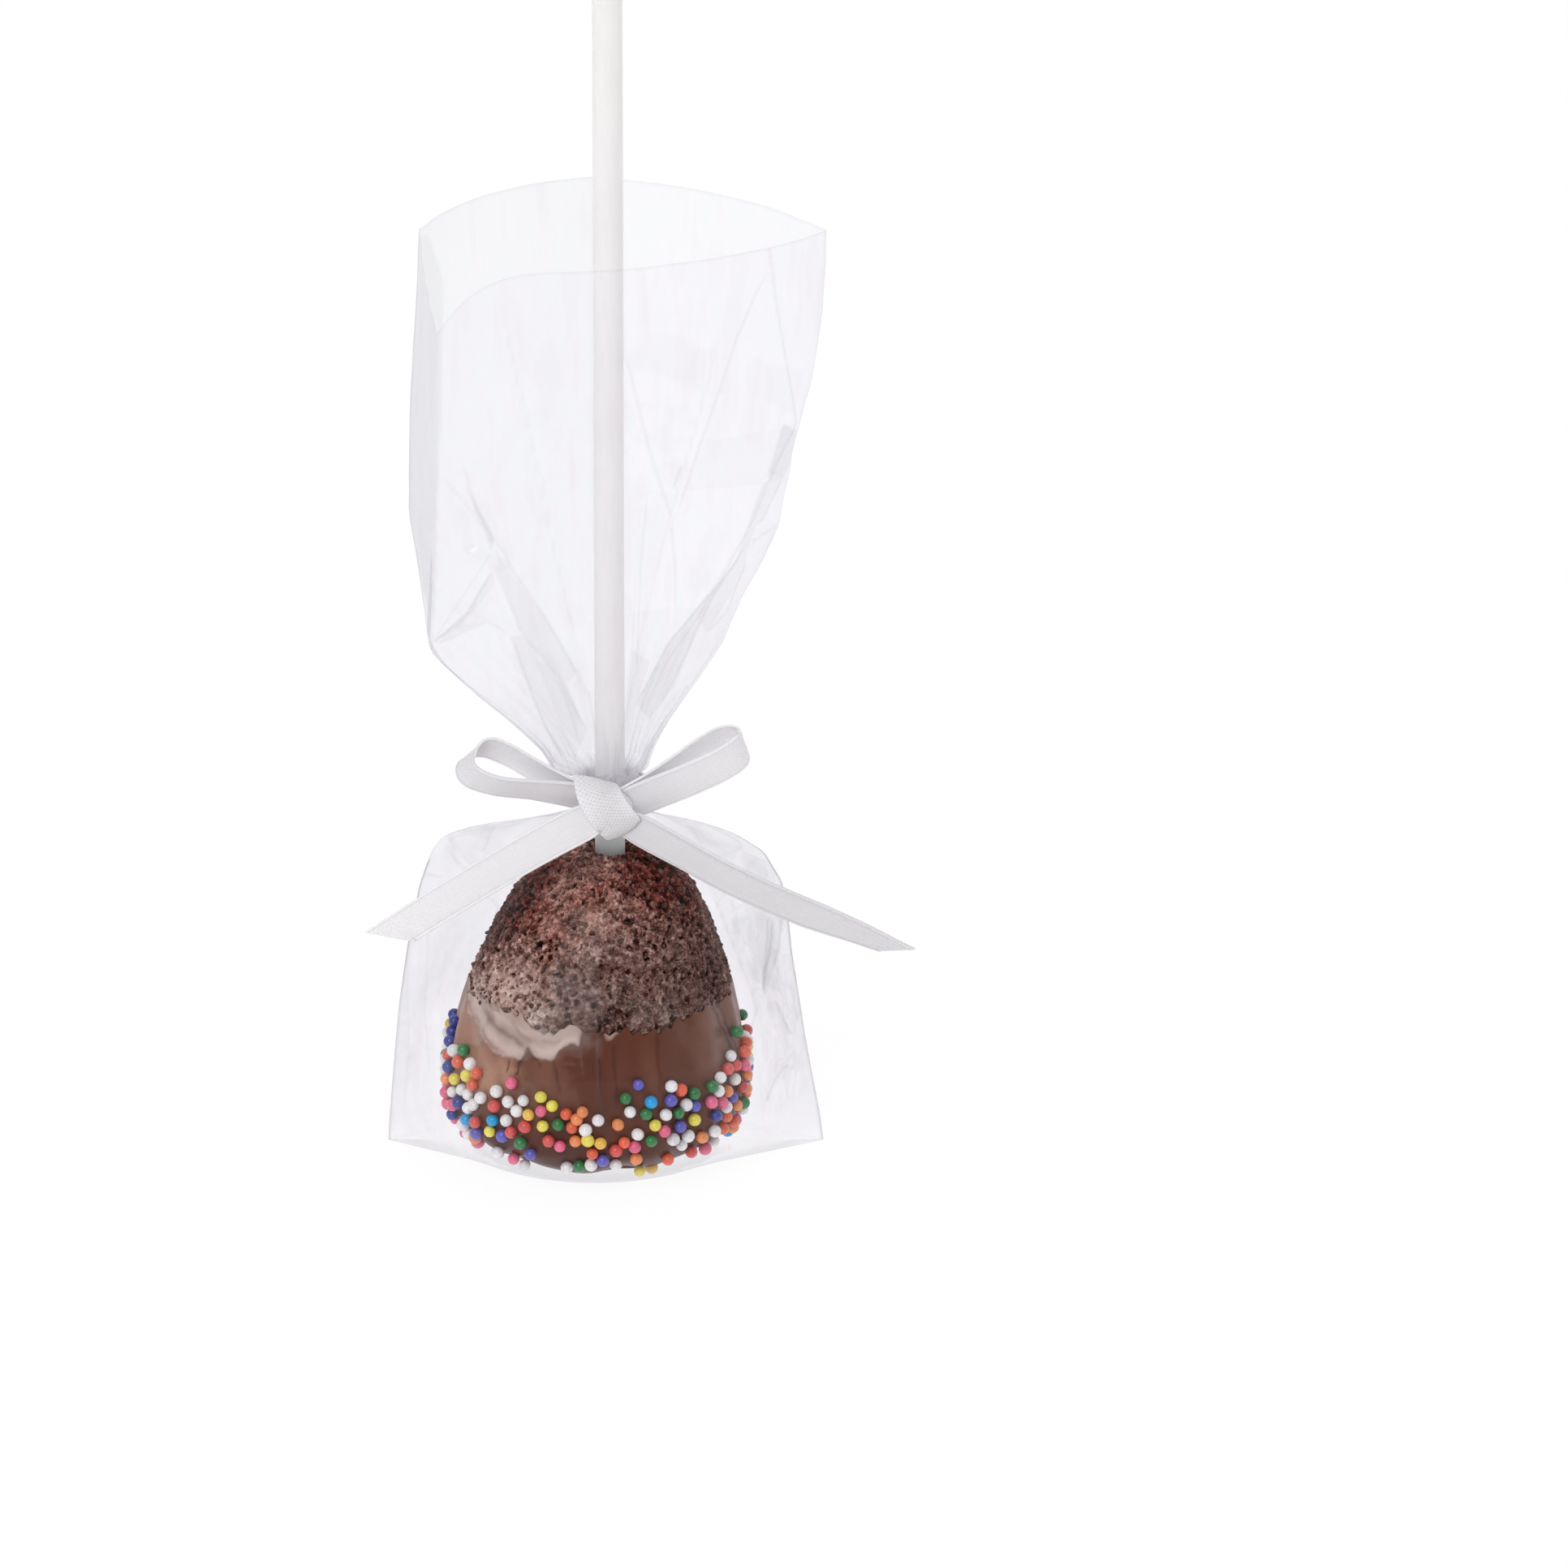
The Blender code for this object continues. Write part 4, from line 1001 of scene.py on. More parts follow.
pouchFacts = {
    "hollow": [(0, 14.9), (0.35, 15.9), (1.1, 18.3), (2.4, 20.1), (5, 21.7), (9, 22.1), (16, 21.95),
               (20, 20.9), (24, 19), (28, 17), (33, 14.8), (37, 12.6), (40.5, 9.6), (42.6, 7.4),
               (44.5, 5.8), (47.3, 4)],
    "left": [(0, 29.9), (3.5, 29.7), (12, 29), (19.8, 28.3), (27.6, 27.2), (36.5, 25.5), (41.8, 23.8),
             (43.8, 22.3), (45.5, 17), (46.6, 9.5), (47.3, 4)],
    "right": [(0, 28.5), (3.9, 28), (9.5, 27), (15.3, 26), (21.6, 25.1), (26.8, 24.3), (31, 23.9),
              (37, 23), (41.4, 20.5), (44, 16.5), (45.8, 11.5), (47.3, 4)],
    "top": 47.3,
    "cornerReach": 0.6,
    "foldDepth": 0.6,  # how far back the side folds lie
    "neckRadius": 4.0,
    "neckTop": 51.0,
    "frontColumns": 320,
    "backColumns": 110,
    "rowHeight": 0.235,
    "baseRings": [0.03, 0.25, 0.5, 0.75],  # shares of the way out to the edge
    "baseHeight": 0.02,
    "slack": 0.30,
    "creases": [
        (-0.5, 2.0, 0.5, [(-21.9, 44), (-15.6, 45.8)]),
        (-0.4, 1.4, 0.5, [(-15.6, 45.8), (-17.1, 42.1)]),
        (0.5, 1.6, 0.4, [(-21.6, 43.6), (-20.3, 39.9)]),
        (-0.3, 1.2, 0.3, [(-21.4, 43.6), (-18.6, 40.2)]),
        (0.3, 1.0, 0.4, [(-25.5, 38.2), (-22.3, 38.4)]),
        (0.5, 2.0, 0.4, [(11, 45.6), (12.9, 45.4), (17.6, 42.6)]),
        (-0.4, 1.8, 0.3, [(10.8, 45.4), (15.5, 39)]),
        (0.4, 1.6, 0.3, [(17.6, 42.4), (13, 41)]),
        (0.3, 1.0, 0.6, [(20.9, 32.6), (20.7, 26.9), (20.5, 22.6)]),
        (-0.3, 0.8, 1.0, [(21.6, 32.2), (21.3, 28.6), (20.6, 25.4), (20.4, 23)]),
        (0.3, 0.8, 0.5, [(22.6, 32.4), (22.2, 28.6), (21.5, 25.4)]),
        (0.3, 1.0, 0.8, [(21.8, 21.8), (22.9, 18.8), (24, 16)]),
        (-0.3, 1.0, 0.4, [(19.8, 21.4), (18.9, 19.4)]),
        (-0.3, 0.8, 0.5, [(23.8, 12.5), (22.3, 11), (20.9, 8.4)]),
        (0.3, 0.7, 0.4, [(24.4, 13.6), (22.8, 12.4), (24.6, 11.4)]),
        (0.3, 0.7, 0.3, [(23.8, 23.2), (24.9, 17)]),
        (0.4, 1.4, 0.2, [(-27.4, 31), (-26.6, 14), (-27.8, 3)]),
        (-0.3, 1.2, 0.2, [(-24.4, 33), (-24.9, 20), (-24.2, 12)]),
        (0.35, 1.1, 0.5, [(-18.9, 24), (-17.2, 20), (-14.9, 15)]),
        (-0.3, 0.7, 0.5, [(-14.4, 19.6), (-12.6, 18.2)]),
        (0.3, 0.7, 0.5, [(-10.7, 16.4), (-12, 13.8)]),
        (0.3, 0.7, 0.5, [(-10.7, 16.4), (-8.9, 13.4)]),
        (0.2, 0.7, 0.3, [(-12.8, 15.4), (-13.4, 13.4)]),
        (0.35, 0.9, 0.6, [(13.7, 24.4), (17.2, 16)]),
        (-0.3, 0.7, 0.4, [(14.6, 24), (17.9, 16.4)]),
        (-0.3, 0.8, 0.5, [(-1.8, 23), (-1.1, 10.4)]),
        (0.25, 0.7, 0.4, [(-3.8, 20.4), (-3.5, 17.8)]),
        (0.25, 0.9, 0.25, [(8.8, 33), (12.4, 21)]),
        (0.25, 0.9, 0.2, [(-8, 37), (-11.6, 27)]),
        (-0.25, 0.9, 0.2, [(3, 38), (4.4, 27)]),
    ],
    "backCreases": [
        (0.6, 1.8, 0.5, [(-22, 42), (-15, 30), (-19, 12)]),
        (0.6, 1.8, 0.5, [(20, 41), (14, 31), (20, 14)]),
        (-0.5, 1.4, 0.5, [(-2, 40), (-1, 6)]),
    ],
    "doubles": [
        (0.09, [(20.8, 32.8), (23.2, 32.6), (21.8, 26), (20.6, 22.4), (20.3, 25.4)]),
        (0.05, [(21, 21.6), (22, 21.4), (23.8, 16.8), (23.4, 16)]),
        (0.04, [(-22, 44), (-15.6, 45.8), (-17.1, 42.1), (-20.3, 40.2)]),
        (0.04, [(11, 45.6), (17.6, 42.5), (15.5, 39.4)]),
        (0.05, [(14.6, 26.6), (16.4, 26.4), (16.8, 23.4), (15.6, 24)]),
        (0.06, [(16, 33.8), (18.4, 33.6), (17.6, 31.2), (16.2, 32)]),
    ],
    "backDoubles": [
        (0.08, [(17.4, 41), (21, 40), (22.8, 20), (18.8, 20)]),
    ],
    "veils": [  # painted glare: the film is made milky where it lies over the chocolate
        (0.9, [(-19.6, 23), (-15, 23.6), (-9, 23.2), (-3, 23), (-1.3, 21.7), (-4.2, 20.9), (-7.8, 19.8),
               (-12, 18.6), (-15.5, 19.2), (-18.4, 20.6)]),
        (0.35, [(8.6, 22.8), (13.8, 22.8), (16.4, 16.8), (12, 16)]),
        (0.35, [(-8.6, 29.4), (-3, 30.2), (1, 27), (-1, 23.6), (-7.4, 23.8)]),
        (0.35, [(2, 27.2), (9.4, 26.4), (9.8, 23.4), (2.8, 23.4)]),
    ],
    "rumples": [  # areas of fine upright wrinkles
        (0.13, [(13, 39), (22.6, 39), (25.6, 20), (26.4, 8), (20, 6), (20, 20)]),
        (0.035, [(-24.6, 40), (-14, 40), (-21, 20), (-23, 4), (-29.4, 3)]),
    ],
    "gathers": 15,
    "fineGathers": 23,
    "gatherFrom": 38.0,
    "gatherFull": 46.5,
    "gatherDepth": 0.45,
    "clear": (0.978, 0.965, 0.988),
    "cool": (0.964, 0.970, 0.988),
    "edge": (0.82, 0.81, 0.85),
    "baseClear": (0.985, 0.985, 0.99),
    "baseEdge": (0.96, 0.96, 0.965),
    "lineDark": 0.17,
    "mirror": 0.008,
    "grazing": 0.4,
    "haze": 0.10,
}


def hullRing(centre, radius, left, right, depth, counts):  # tight loop round a circle and two side points
    sides = []
    for x in (-left, right):
        far = math.hypot(x - centre, depth)
        toSide = math.atan2(depth, x - centre)
        sides.append((toSide, math.acos(min(0.9999, radius / far)) if far > radius else 0.0))

    def reachAt(angle):
        reach = np.full(angle.shape, radius)
        for toSide, half in sides:
            off = np.abs(turnFrom(angle, toSide))
            reach = np.where(off < half, radius / np.cos(half - off), reach)
        return reach

    loop = []
    start, stop = sides[0][0], sides[1][0]
    for low, high, count in ((start - 2 * math.pi, stop, counts[0]), (stop, start, counts[1])):
        angle = np.linspace(low, high, 900)
        reach = reachAt(angle)
        x, y = centre + reach * np.cos(angle), reach * np.sin(angle)
        run = np.concatenate([[0.0], np.cumsum(np.hypot(np.diff(x), np.diff(y)))])
        even = np.linspace(0.0, run[-1], count, endpoint=False)
        loop.append(np.stack([np.interp(even, run, x), np.interp(even, run, y)], 1))
    return np.concatenate(loop)


def makePouch(facts):
    top, neck = facts["top"], facts["neckRadius"]
    hollow = smoothCurve(facts["hollow"])
    left, right = [foldedCurve(facts[side], facts["cornerReach"]) for side in ("left", "right")]
    counts = (facts["frontColumns"], facts["backColumns"])
    rings = []

    def addRing(height, *shape):
        flat = hullRing(*shape, counts)
        rings.append(np.column_stack([flat, np.full(len(flat), height)]))

    for height in np.concatenate([[0.0, 0.12, 0.3, 0.6], np.arange(0.9, top, facts["rowHeight"])]):
        addRing(height, leanAt(height) * smoothStep(top, 40.0, height), float(hollow(height)),
                float(left(height)), float(right(height)), facts["foldDepth"] * (1 - height / top))
    for height in np.arange(top + 0.3, facts["neckTop"], 0.5):
        addRing(height, 0.0, neck, neck + 0.01, neck + 0.01, 0.0)
    grid = np.array(rings)
    front = np.zeros(grid.shape[:2])
    front[:, 1:counts[0]] = 1.0
    height = grid[:, :, 2]
    wing = smoothStep(0.0, 4.0, np.hypot(grid[:, :, 0] - leanAt(height), grid[:, :, 1]) - hollow(height))
    place = np.concatenate([np.arange(count) / count for count in counts])
    fromFold = np.minimum(place, 1 - place)
    ease = smoothStep(0.0, 0.03, fromFold) * smoothStep(0.0, 1.5, height)
    lift, line = creased(grid, front, facts)
    lift *= 0.4 + 0.6 * wing  # the film lies closer where the cake is behind it
    lift += facts["slack"] * noiseAt(grid * (1.0, 1.0, 0.35), 4.5) * (0.25 + 0.75 * wing)
    lift += 0.10 * noiseAt(grid, 1.8) * (0.3 + 0.7 * wing)
    angle = np.arctan2(grid[:, :, 1], grid[:, :, 0])
    gather = smoothStep(facts["gatherFrom"], facts["gatherFull"], height) * facts["gatherDepth"]
    waves = np.cos(facts["gathers"] * angle + 1.4 * np.sin(3 * angle))
    waves = waves + 0.5 * np.cos(facts["fineGathers"] * angle + 1.0)
    lift = lift * ease + gather * (0.5 * waves - 0.3)
    line += 0.35 * np.exp(-(fromFold / 0.006) ** 2) * (height < 45.0) + 0.12 * np.exp(-height / 0.25)
    upright = noiseAt(grid * (1.0, 1.0, 0.3), 1.1, 51.0)
    wrinkles = 0.6 * smoothStep(0.0, 0.45, upright) + 0.6 * np.exp(-(upright / 0.07) ** 2)
    double = doubled(grid, front, facts, 0.2) + zoned(grid, front, facts["rumples"], 1.5) * wrinkles
    # hazy film at the wings, and painted glare in the veils
    haze = wing * smoothStep(0.0, 3.0, height) + zoned(grid, front, facts["veils"], 0.4, 0.8)
    grid = grid + gridNormals(grid) * lift[:, :, None] * np.array([1.0, 1.0, 0.4])
    grid[0, :, 2] = 0.0
    middle = (0.0, 0.0, facts["baseHeight"])
    base = np.array([grid[0] * (share, share, 0.0) + middle for share in facts["baseRings"]])
    mesh = gridMesh("filmPouch", np.concatenate([base, grid]), first=middle)
    spare = np.zeros(base.shape[:2])
    line, double, haze = [np.concatenate([spare, values]) for values in (np.clip(line, 0, 1), double, haze)]
    addValues(mesh, filmLine=line, filmDouble=double, filmHaze=haze)
    material = filmMaterial("pouchFilm", facts, facts["clear"], facts["cool"], facts["edge"])
    addPiece("filmPouch", mesh, material, "bag")
    clear = facts["baseClear"]
    mesh.materials.append(filmMaterial("baseFilm", facts, clear, clear, facts["baseEdge"]))
    for face in mesh.polygons:
        if max(mesh.vertices[v].co.z for v in face.vertices) < 0.05 * mm:
            face.material_index = 1


makePouch(pouchFacts)


# Skirt: flat panels between named folds, which run down from the mouth to the neck

skirtFacts = {
    "neckBottom": 49.6,
    "neckTop": 52.3,
    "neckRadius": 4.1,
    "neckShift": -0.3,
    "rows": 300,
    "bulges": [1.2, 1.2, 0.4, 4.0, 4.5, 0.4],  # how far each panel bows out at the mouth
    "spacing": [0.20, 0.20, 0.20, 0.55, 0.55, 0.40],
    "frontPanels": 3,
    "cornerReach": 0.6,
    "neckCorners": {"reach": 3.4, "between": (63, 73)},
    "folds": [
        {"name": "frontLeft", "bead": 0.22, "path": [(-22.3, -12, 118.4), (-22.4, -12, 110),
            (-22.65, -11.5, 98.4), (-23, -10, 89.3), (-23.3, -7, 79), (-23.5, -4.4, 71.2),
            (-18, -6.4, 66.5), (-12.5, -6.6, 62), (-8.6, -5.4, 58), (-5.8, -3.6, 53.6)]},
        {"name": "frontMiddle", "bead": 0.0, "path": [(-2.3, -15.2, 128), (-2.6, -15, 115),
            (-2.8, -14, 100), (-2.6, -12, 86), (-2, -9.6, 74), (-1.5, -7.4, 64), (-1.2, -6.2, 57.5),
            (-1, -5.2, 53.6)]},
        {"name": "frontRight", "bead": 0.25, "path": [(21.2, -5.8, 128.2), (22.5, -4.5, 118),
            (24, -2.5, 108.5), (25, -1.2, 102.2), (21, -6.3, 96), (18.3, -7.8, 89.7), (15, -8.2, 83.9),
            (11.2, -7.9, 76.8), (7.5, -7.4, 70.9), (5, -6.4, 64.6), (3.6, -5.3, 58), (2.8, -3.9, 53.6)]},
        {"name": "right", "bead": 0.12, "path": [(28.8, 1.5, 128.2), (28.2, 1, 117.3), (26.9, 0.5, 108),
            (25.5, -0.6, 102.6), (24.8, 0, 100), (23.7, 0.5, 94.2), (22.5, 0.5, 87.6), (20.4, 0.5, 82.7),
            (17.7, 0.5, 77), (15.4, 0.5, 70.7), (13.2, 0.5, 67.2), (10.9, 0.3, 63.8), (8.2, 0.2, 60.5),
            (6.4, 0.1, 57.5), (4.6, 0, 53.6)]},
        {"name": "back", "bead": 0.10, "path": [(-2.3, 18.6, 130), (-2.3, 18, 115), (-2.2, 16.5, 100),
            (-2, 14, 86), (-1.6, 11, 74), (-1, 8, 64), (-0.5, 6.2, 57.5), (-0.4, 5, 53.6)]},
        {"name": "left", "bead": 0.12, "path": [(-24.8, 4, 127.5), (-25.4, 3.5, 117), (-26.2, 2.5, 104),
            (-26.4, 1.5, 88.8), (-23.7, -3.6, 71.2), (-19.8, -3.4, 67), (-15.4, -2.4, 63),
            (-11.4, -1.4, 60), (-8.8, -0.6, 56.8), (-6.9, 0.2, 53.6)]},
    ],
    "creases": [
        (-0.7, 3.0, 0.5, [(-19.1, 99.9), (-17.4, 93.7), (-15, 88.5)]),
        (1.5, 5.0, 0.3, [(-23.3, 73.2), (-19.6, 80), (-15.4, 87.5)]),
        (0.4, 1.6, 0.9, [(-23.2, 73.1), (-18.5, 78.3), (-15.2, 85)]),
        (-0.9, 2.8, 0.6, [(-15, 89.2), (-9, 78.4), (-4.6, 70.3), (-2.7, 66.5)]),
        (0.7, 1.6, 0.5, [(-14.9, 86.2), (-12.9, 80), (-11.4, 75)]),
        (-1.1, 2.2, 0.5, [(-22.8, 72.5), (-16.3, 76.5), (-13.1, 74.6)]),
        (-1.0, 1.5, 0.9, [(-13.1, 74.6), (-10.7, 67.2), (-7.7, 58.2), (-6.2, 54.3)]),
        (0.6, 1.4, 0.6, [(-11.4, 75), (-6.6, 69.5), (-3.1, 61.3)]),
        (-0.4, 1.0, 0.4, [(-6.6, 69.2), (-4.2, 60.8), (-3.1, 56.3)]),
        (0.3, 0.8, 0.4, [(-2.7, 67.2), (-1.7, 59.1)]),
        (0.6, 2.6, 0.55, [(2.1, 116.5), (5.3, 101.9), (8.5, 91.9)]),
        (-0.7, 2.6, 0.55, [(21, 124.6), (17.4, 116.2), (13.7, 104.9), (8.9, 92.1)]),
        (0.3, 1.0, 0.6, [(9.8, 99.1), (8.5, 96.3)]),
        (-0.5, 1.2, 0.45, [(8.4, 91.9), (9, 83.9), (8.9, 78.7)]),
        (0.5, 1.2, 0.45, [(5.1, 96), (4.2, 85.8), (3.6, 69)]),
        (0.6, 1.1, 0.9, [(17.6, 86.6), (12.9, 80.5), (7.5, 73.7), (3.8, 65.6)]),
        (-0.5, 1.0, 0.5, [(16.1, 84.6), (12.4, 75.6), (6.8, 63)]),
        (-0.5, 1.2, 0.5, [(19.1, 86.4), (22.6, 87)]),
        (0.6, 1.2, 0.5, [(20.9, 96.5), (22.6, 95.3), (19.4, 89.7)]),
        (0.4, 1.0, 0.5, [(18.1, 84.4), (15.6, 76.5), (13.1, 73.8)]),
    ],
    "backCreases": [
        (0.7, 2.6, 0.35, [(-14, 112), (-8, 84), (-4, 66)]),
        (-0.7, 2.4, 0.35, [(14, 106), (8, 84), (3, 64)]),
        (0.7, 3.0, 0.35, [(-22, 92), (-13, 80)]),
    ],
    "doubles": [  # doubled film, and painted shade on facets that turn away from the light
        (0.10, [(-19, 97.5), (-15, 89.4), (-15.4, 87.6), (-17.8, 94)]),
        (0.07, [(-15, 87.9), (-9, 78.4), (-4.2, 69.7), (-5.5, 68.2), (-11.4, 75), (-12.9, 80)]),
        (0.06, [(-22.8, 73.4), (-18.5, 78.3), (-15, 85.4), (-14.8, 82.9), (-19.6, 75.8)]),
        (0.07, [(-13.1, 74.6), (-11.4, 75), (-5.5, 68.2), (-2.9, 61.1), (-5.5, 54.3), (-7.7, 58.2),
                (-10.7, 67.2)]),
        (0.05, [(-9.8, 71.5), (-7.7, 70.9), (-4, 63.7), (-4.2, 59.4), (-6.6, 62.6)]),
        (0.09, [(17.6, 86.6), (12.9, 80.5), (7.5, 73.7), (3.6, 65.2), (5.3, 62), (8.8, 66.2),
                (12.4, 75.6), (16.3, 84)]),
        (0.06, [(21.3, 97.4), (22.8, 95.3), (19.4, 89.7), (17, 80.5), (13.1, 73.8), (12.4, 75.6),
                (16.6, 85.4), (19.4, 93.5)]),
        (0.12, [(23.2, 102.5), (25.2, 101), (23.9, 95.9), (22.8, 95.3), (21.1, 97)]),
        (0.07, [(3.1, 73.5), (5.3, 71.4), (3.8, 65.9), (2.1, 57.2)]),
    ],
    "backDoubles": [
        (0.07, [(-27, 128), (-23.8, 126), (-22, 119), (-22.3, 98.4), (-23.2, 74), (-27, 88)]),
        (-0.03, [(1.5, 132), (30, 132), (27, 100), (18, 76), (3, 72)]),
    ],
    "pleats": 26,
    "pleatSeed": 5,
    "pleatDepth": 1.05,
    "slack": 0.28,
    "clear": (0.990, 0.978, 0.994),
    "cool": (0.976, 0.985, 0.995),
    "backClear": (0.940, 0.927, 0.952),
    "backCool": (0.926, 0.937, 0.955),
    "edge": (0.85, 0.84, 0.88),
    "lineDark": 0.13,
    "mirror": 0.03,
    "grazing": 0.5,
    "haze": 0.05,
    "neckMilk": 8.0,
    "tightMilk": 16.0,
    "neckFade": 0.20,  # shares of the way up to the mouth
    "tightFade": 0.035,
    "roundFade": 0.025,
    "sag": 0.16,  # how far a panel bows out near the neck, for its width
    "sagFade": 0.35,
}


def foldOf(fold, facts):
    path = fold["path"][::-1]
    curves = [foldedCurve([(p[2], p[axis]) for p in path], facts["cornerReach"], facts["neckCorners"])
              for axis in (0, 1)]
    return {"top": path[-1][2], "bead": fold["bead"], "angle": math.atan2(path[0][1], path[0][0]),
            "xy": lambda height: np.stack([curve(height) for curve in curves], -1)}


def skirtPanel(here, there, place, share, facts):  # the film from one fold to the next
    neck, spacing = facts["neckTop"], facts["spacing"][place]
    wide = np.linalg.norm(there["xy"](there["top"]) - here["xy"](here["top"]))
    columns = max(8, round(float(wide) / spacing))
    s = np.arange(columns) / columns
    rise = 1 - (1 - s) ** 3.5 if place == 0 else s
    top = here["top"] + (there["top"] - here["top"]) * rise
    start = here["xy"](neck + share[:, None] * (here["top"] - neck))
    chord = there["xy"](neck + share[:, None] * (there["top"] - neck)) - start
    out = np.stack([chord[:, :, 1], -chord[:, :, 0]], 2)
    out = out / np.maximum(np.linalg.norm(out, axis=2, keepdims=True), 1e-6)
    bow = (facts["bulges"][place] * share ** 0.8)[:, None]
    nearNeck = 1 - smoothStep(0.0, facts["sagFade"], share)[:, None]
    bow = bow + np.linalg.norm(chord, axis=2) * facts["sag"] * nearNeck
    flat = start + chord * s[None, :, None] + out * (bow * 4 * s * (1 - s))[:, :, None]
    z = neck + share[:, None] * (top - neck)
    turn = math.remainder(there["angle"] - here["angle"], 2 * math.pi) % (2 * math.pi)
    angle = here["angle"] + turn * s
    ring = ringPoints(angle, facts["neckRadius"], 0.0, facts["neckShift"])[:, :2]
    toRing = (1 - smoothStep(0.0, facts["roundFade"], share))[:, None, None]
    flat = flat * (1 - toRing) + ring * toRing
    near, far = s * columns * spacing, (1 - s) * columns * spacing
    bead = here["bead"] * np.exp(-near / 0.5) + there["bead"] * np.exp(-far / 0.5)
    edge = here["bead"] * np.exp(-(near / 0.25) ** 2) + there["bead"] * np.exp(-(far / 0.25) ** 2)
    return np.concatenate([flat, z[:, :, None]], 2), angle, bead, edge


def makeSkirt(facts):
    folds = [foldOf(fold, facts) for fold in facts["folds"]]
    share = np.linspace(0.0, 1.0, facts["rows"])
    panels = [skirtPanel(here, there, place, share, facts)
              for place, (here, there) in enumerate(zip(folds, folds[1:] + folds[:1]))]
    grids, angles, beads, edges = zip(*panels)
    grid = np.concatenate(grids, axis=1)
    angle = np.concatenate(angles)
    split = sum(panel.shape[1] for panel in grids[:facts["frontPanels"]])
    front = np.broadcast_to(np.where(np.arange(grid.shape[1]) < split, 1.0, 0.0), grid.shape[:2])
    lift, line = creased(grid, front, facts)
    ease = smoothStep(0.05, 0.3, share)[:, None]
    lift += np.concatenate(beads) * ease
    line += 2.2 * np.concatenate(edges) * ease
    lift += facts["slack"] * noiseAt(grid * (1.0, 1.0, 0.4), 7.0) * ease
    lift += 0.07 * noiseAt(grid * (1.0, 1.0, 0.6), 2.2)
    double = doubled(grid, front, facts, 0.16)
    line += 0.5 * np.exp(-((grid[-1, :, 2] - grid[:, :, 2]) / 0.3) ** 2)  # the mouth's edge
    draw = random.Random(facts["pleatSeed"])
    for pleat in range(facts["pleats"]):
        at = 2 * math.pi * (pleat + draw.uniform(-0.3, 0.3)) / facts["pleats"]
        width = draw.uniform(0.08, 0.13)
        length = draw.uniform(0.14, 0.50)
        depth = facts["pleatDepth"] * draw.uniform(0.7, 1.2)
        off = np.abs(turnFrom(angle, at)) / width
        fade = np.clip(1 - share / length, 0, 1)[:, None]
        lift -= depth * np.clip(1 - off, 0, 1) * fade
        line += 0.35 * np.exp(-(off / 0.3) ** 2) * fade ** 0.7 * smoothStep(0.02, 0.16, share)[:, None]
    grid = grid + gridNormals(grid) * lift[:, :, None] * np.array([1.0, 1.0, 0.3])
    lower = []
    for height in np.arange(facts["neckBottom"], facts["neckTop"] - 0.2, 0.4):
        lower.append(grid[0] * (1.0, 1.0, 0.0) + (0.0, 0.0, height))
    milk = 1.0 + facts["neckMilk"] * (1 - smoothStep(0.0, facts["neckFade"], share))
    milk += facts["tightMilk"] * (1 - smoothStep(0.0, facts["tightFade"], share))
    milk = np.broadcast_to(milk[:, None], line.shape)
    line, double, milk = [np.concatenate([np.repeat(values[:1], len(lower), axis=0), values])
                          for values in (np.clip(line, 0.0, 1.0), double, milk)]
    grid = np.concatenate([np.array(lower), grid])
    halves = [("filmSkirt", facts["clear"], facts["cool"], np.arange(split + 1)),
              ("filmSkirtBack", facts["backClear"], facts["backCool"],
               np.append(np.arange(split, grid.shape[1]), 0))]
    for name, clear, cool, columns in halves:
        mesh = gridMesh(name, grid[:, columns], closed=False)
        addValues(mesh, filmLine=line[:, columns], filmDouble=double[:, columns], filmHaze=milk[:, columns])
        addPiece(name, mesh, filmMaterial(name, facts, clear, cool, facts["edge"]), "bag")


makeSkirt(skirtFacts)


# Ribbon bow: woven strips with a firmer selvedge along both edges

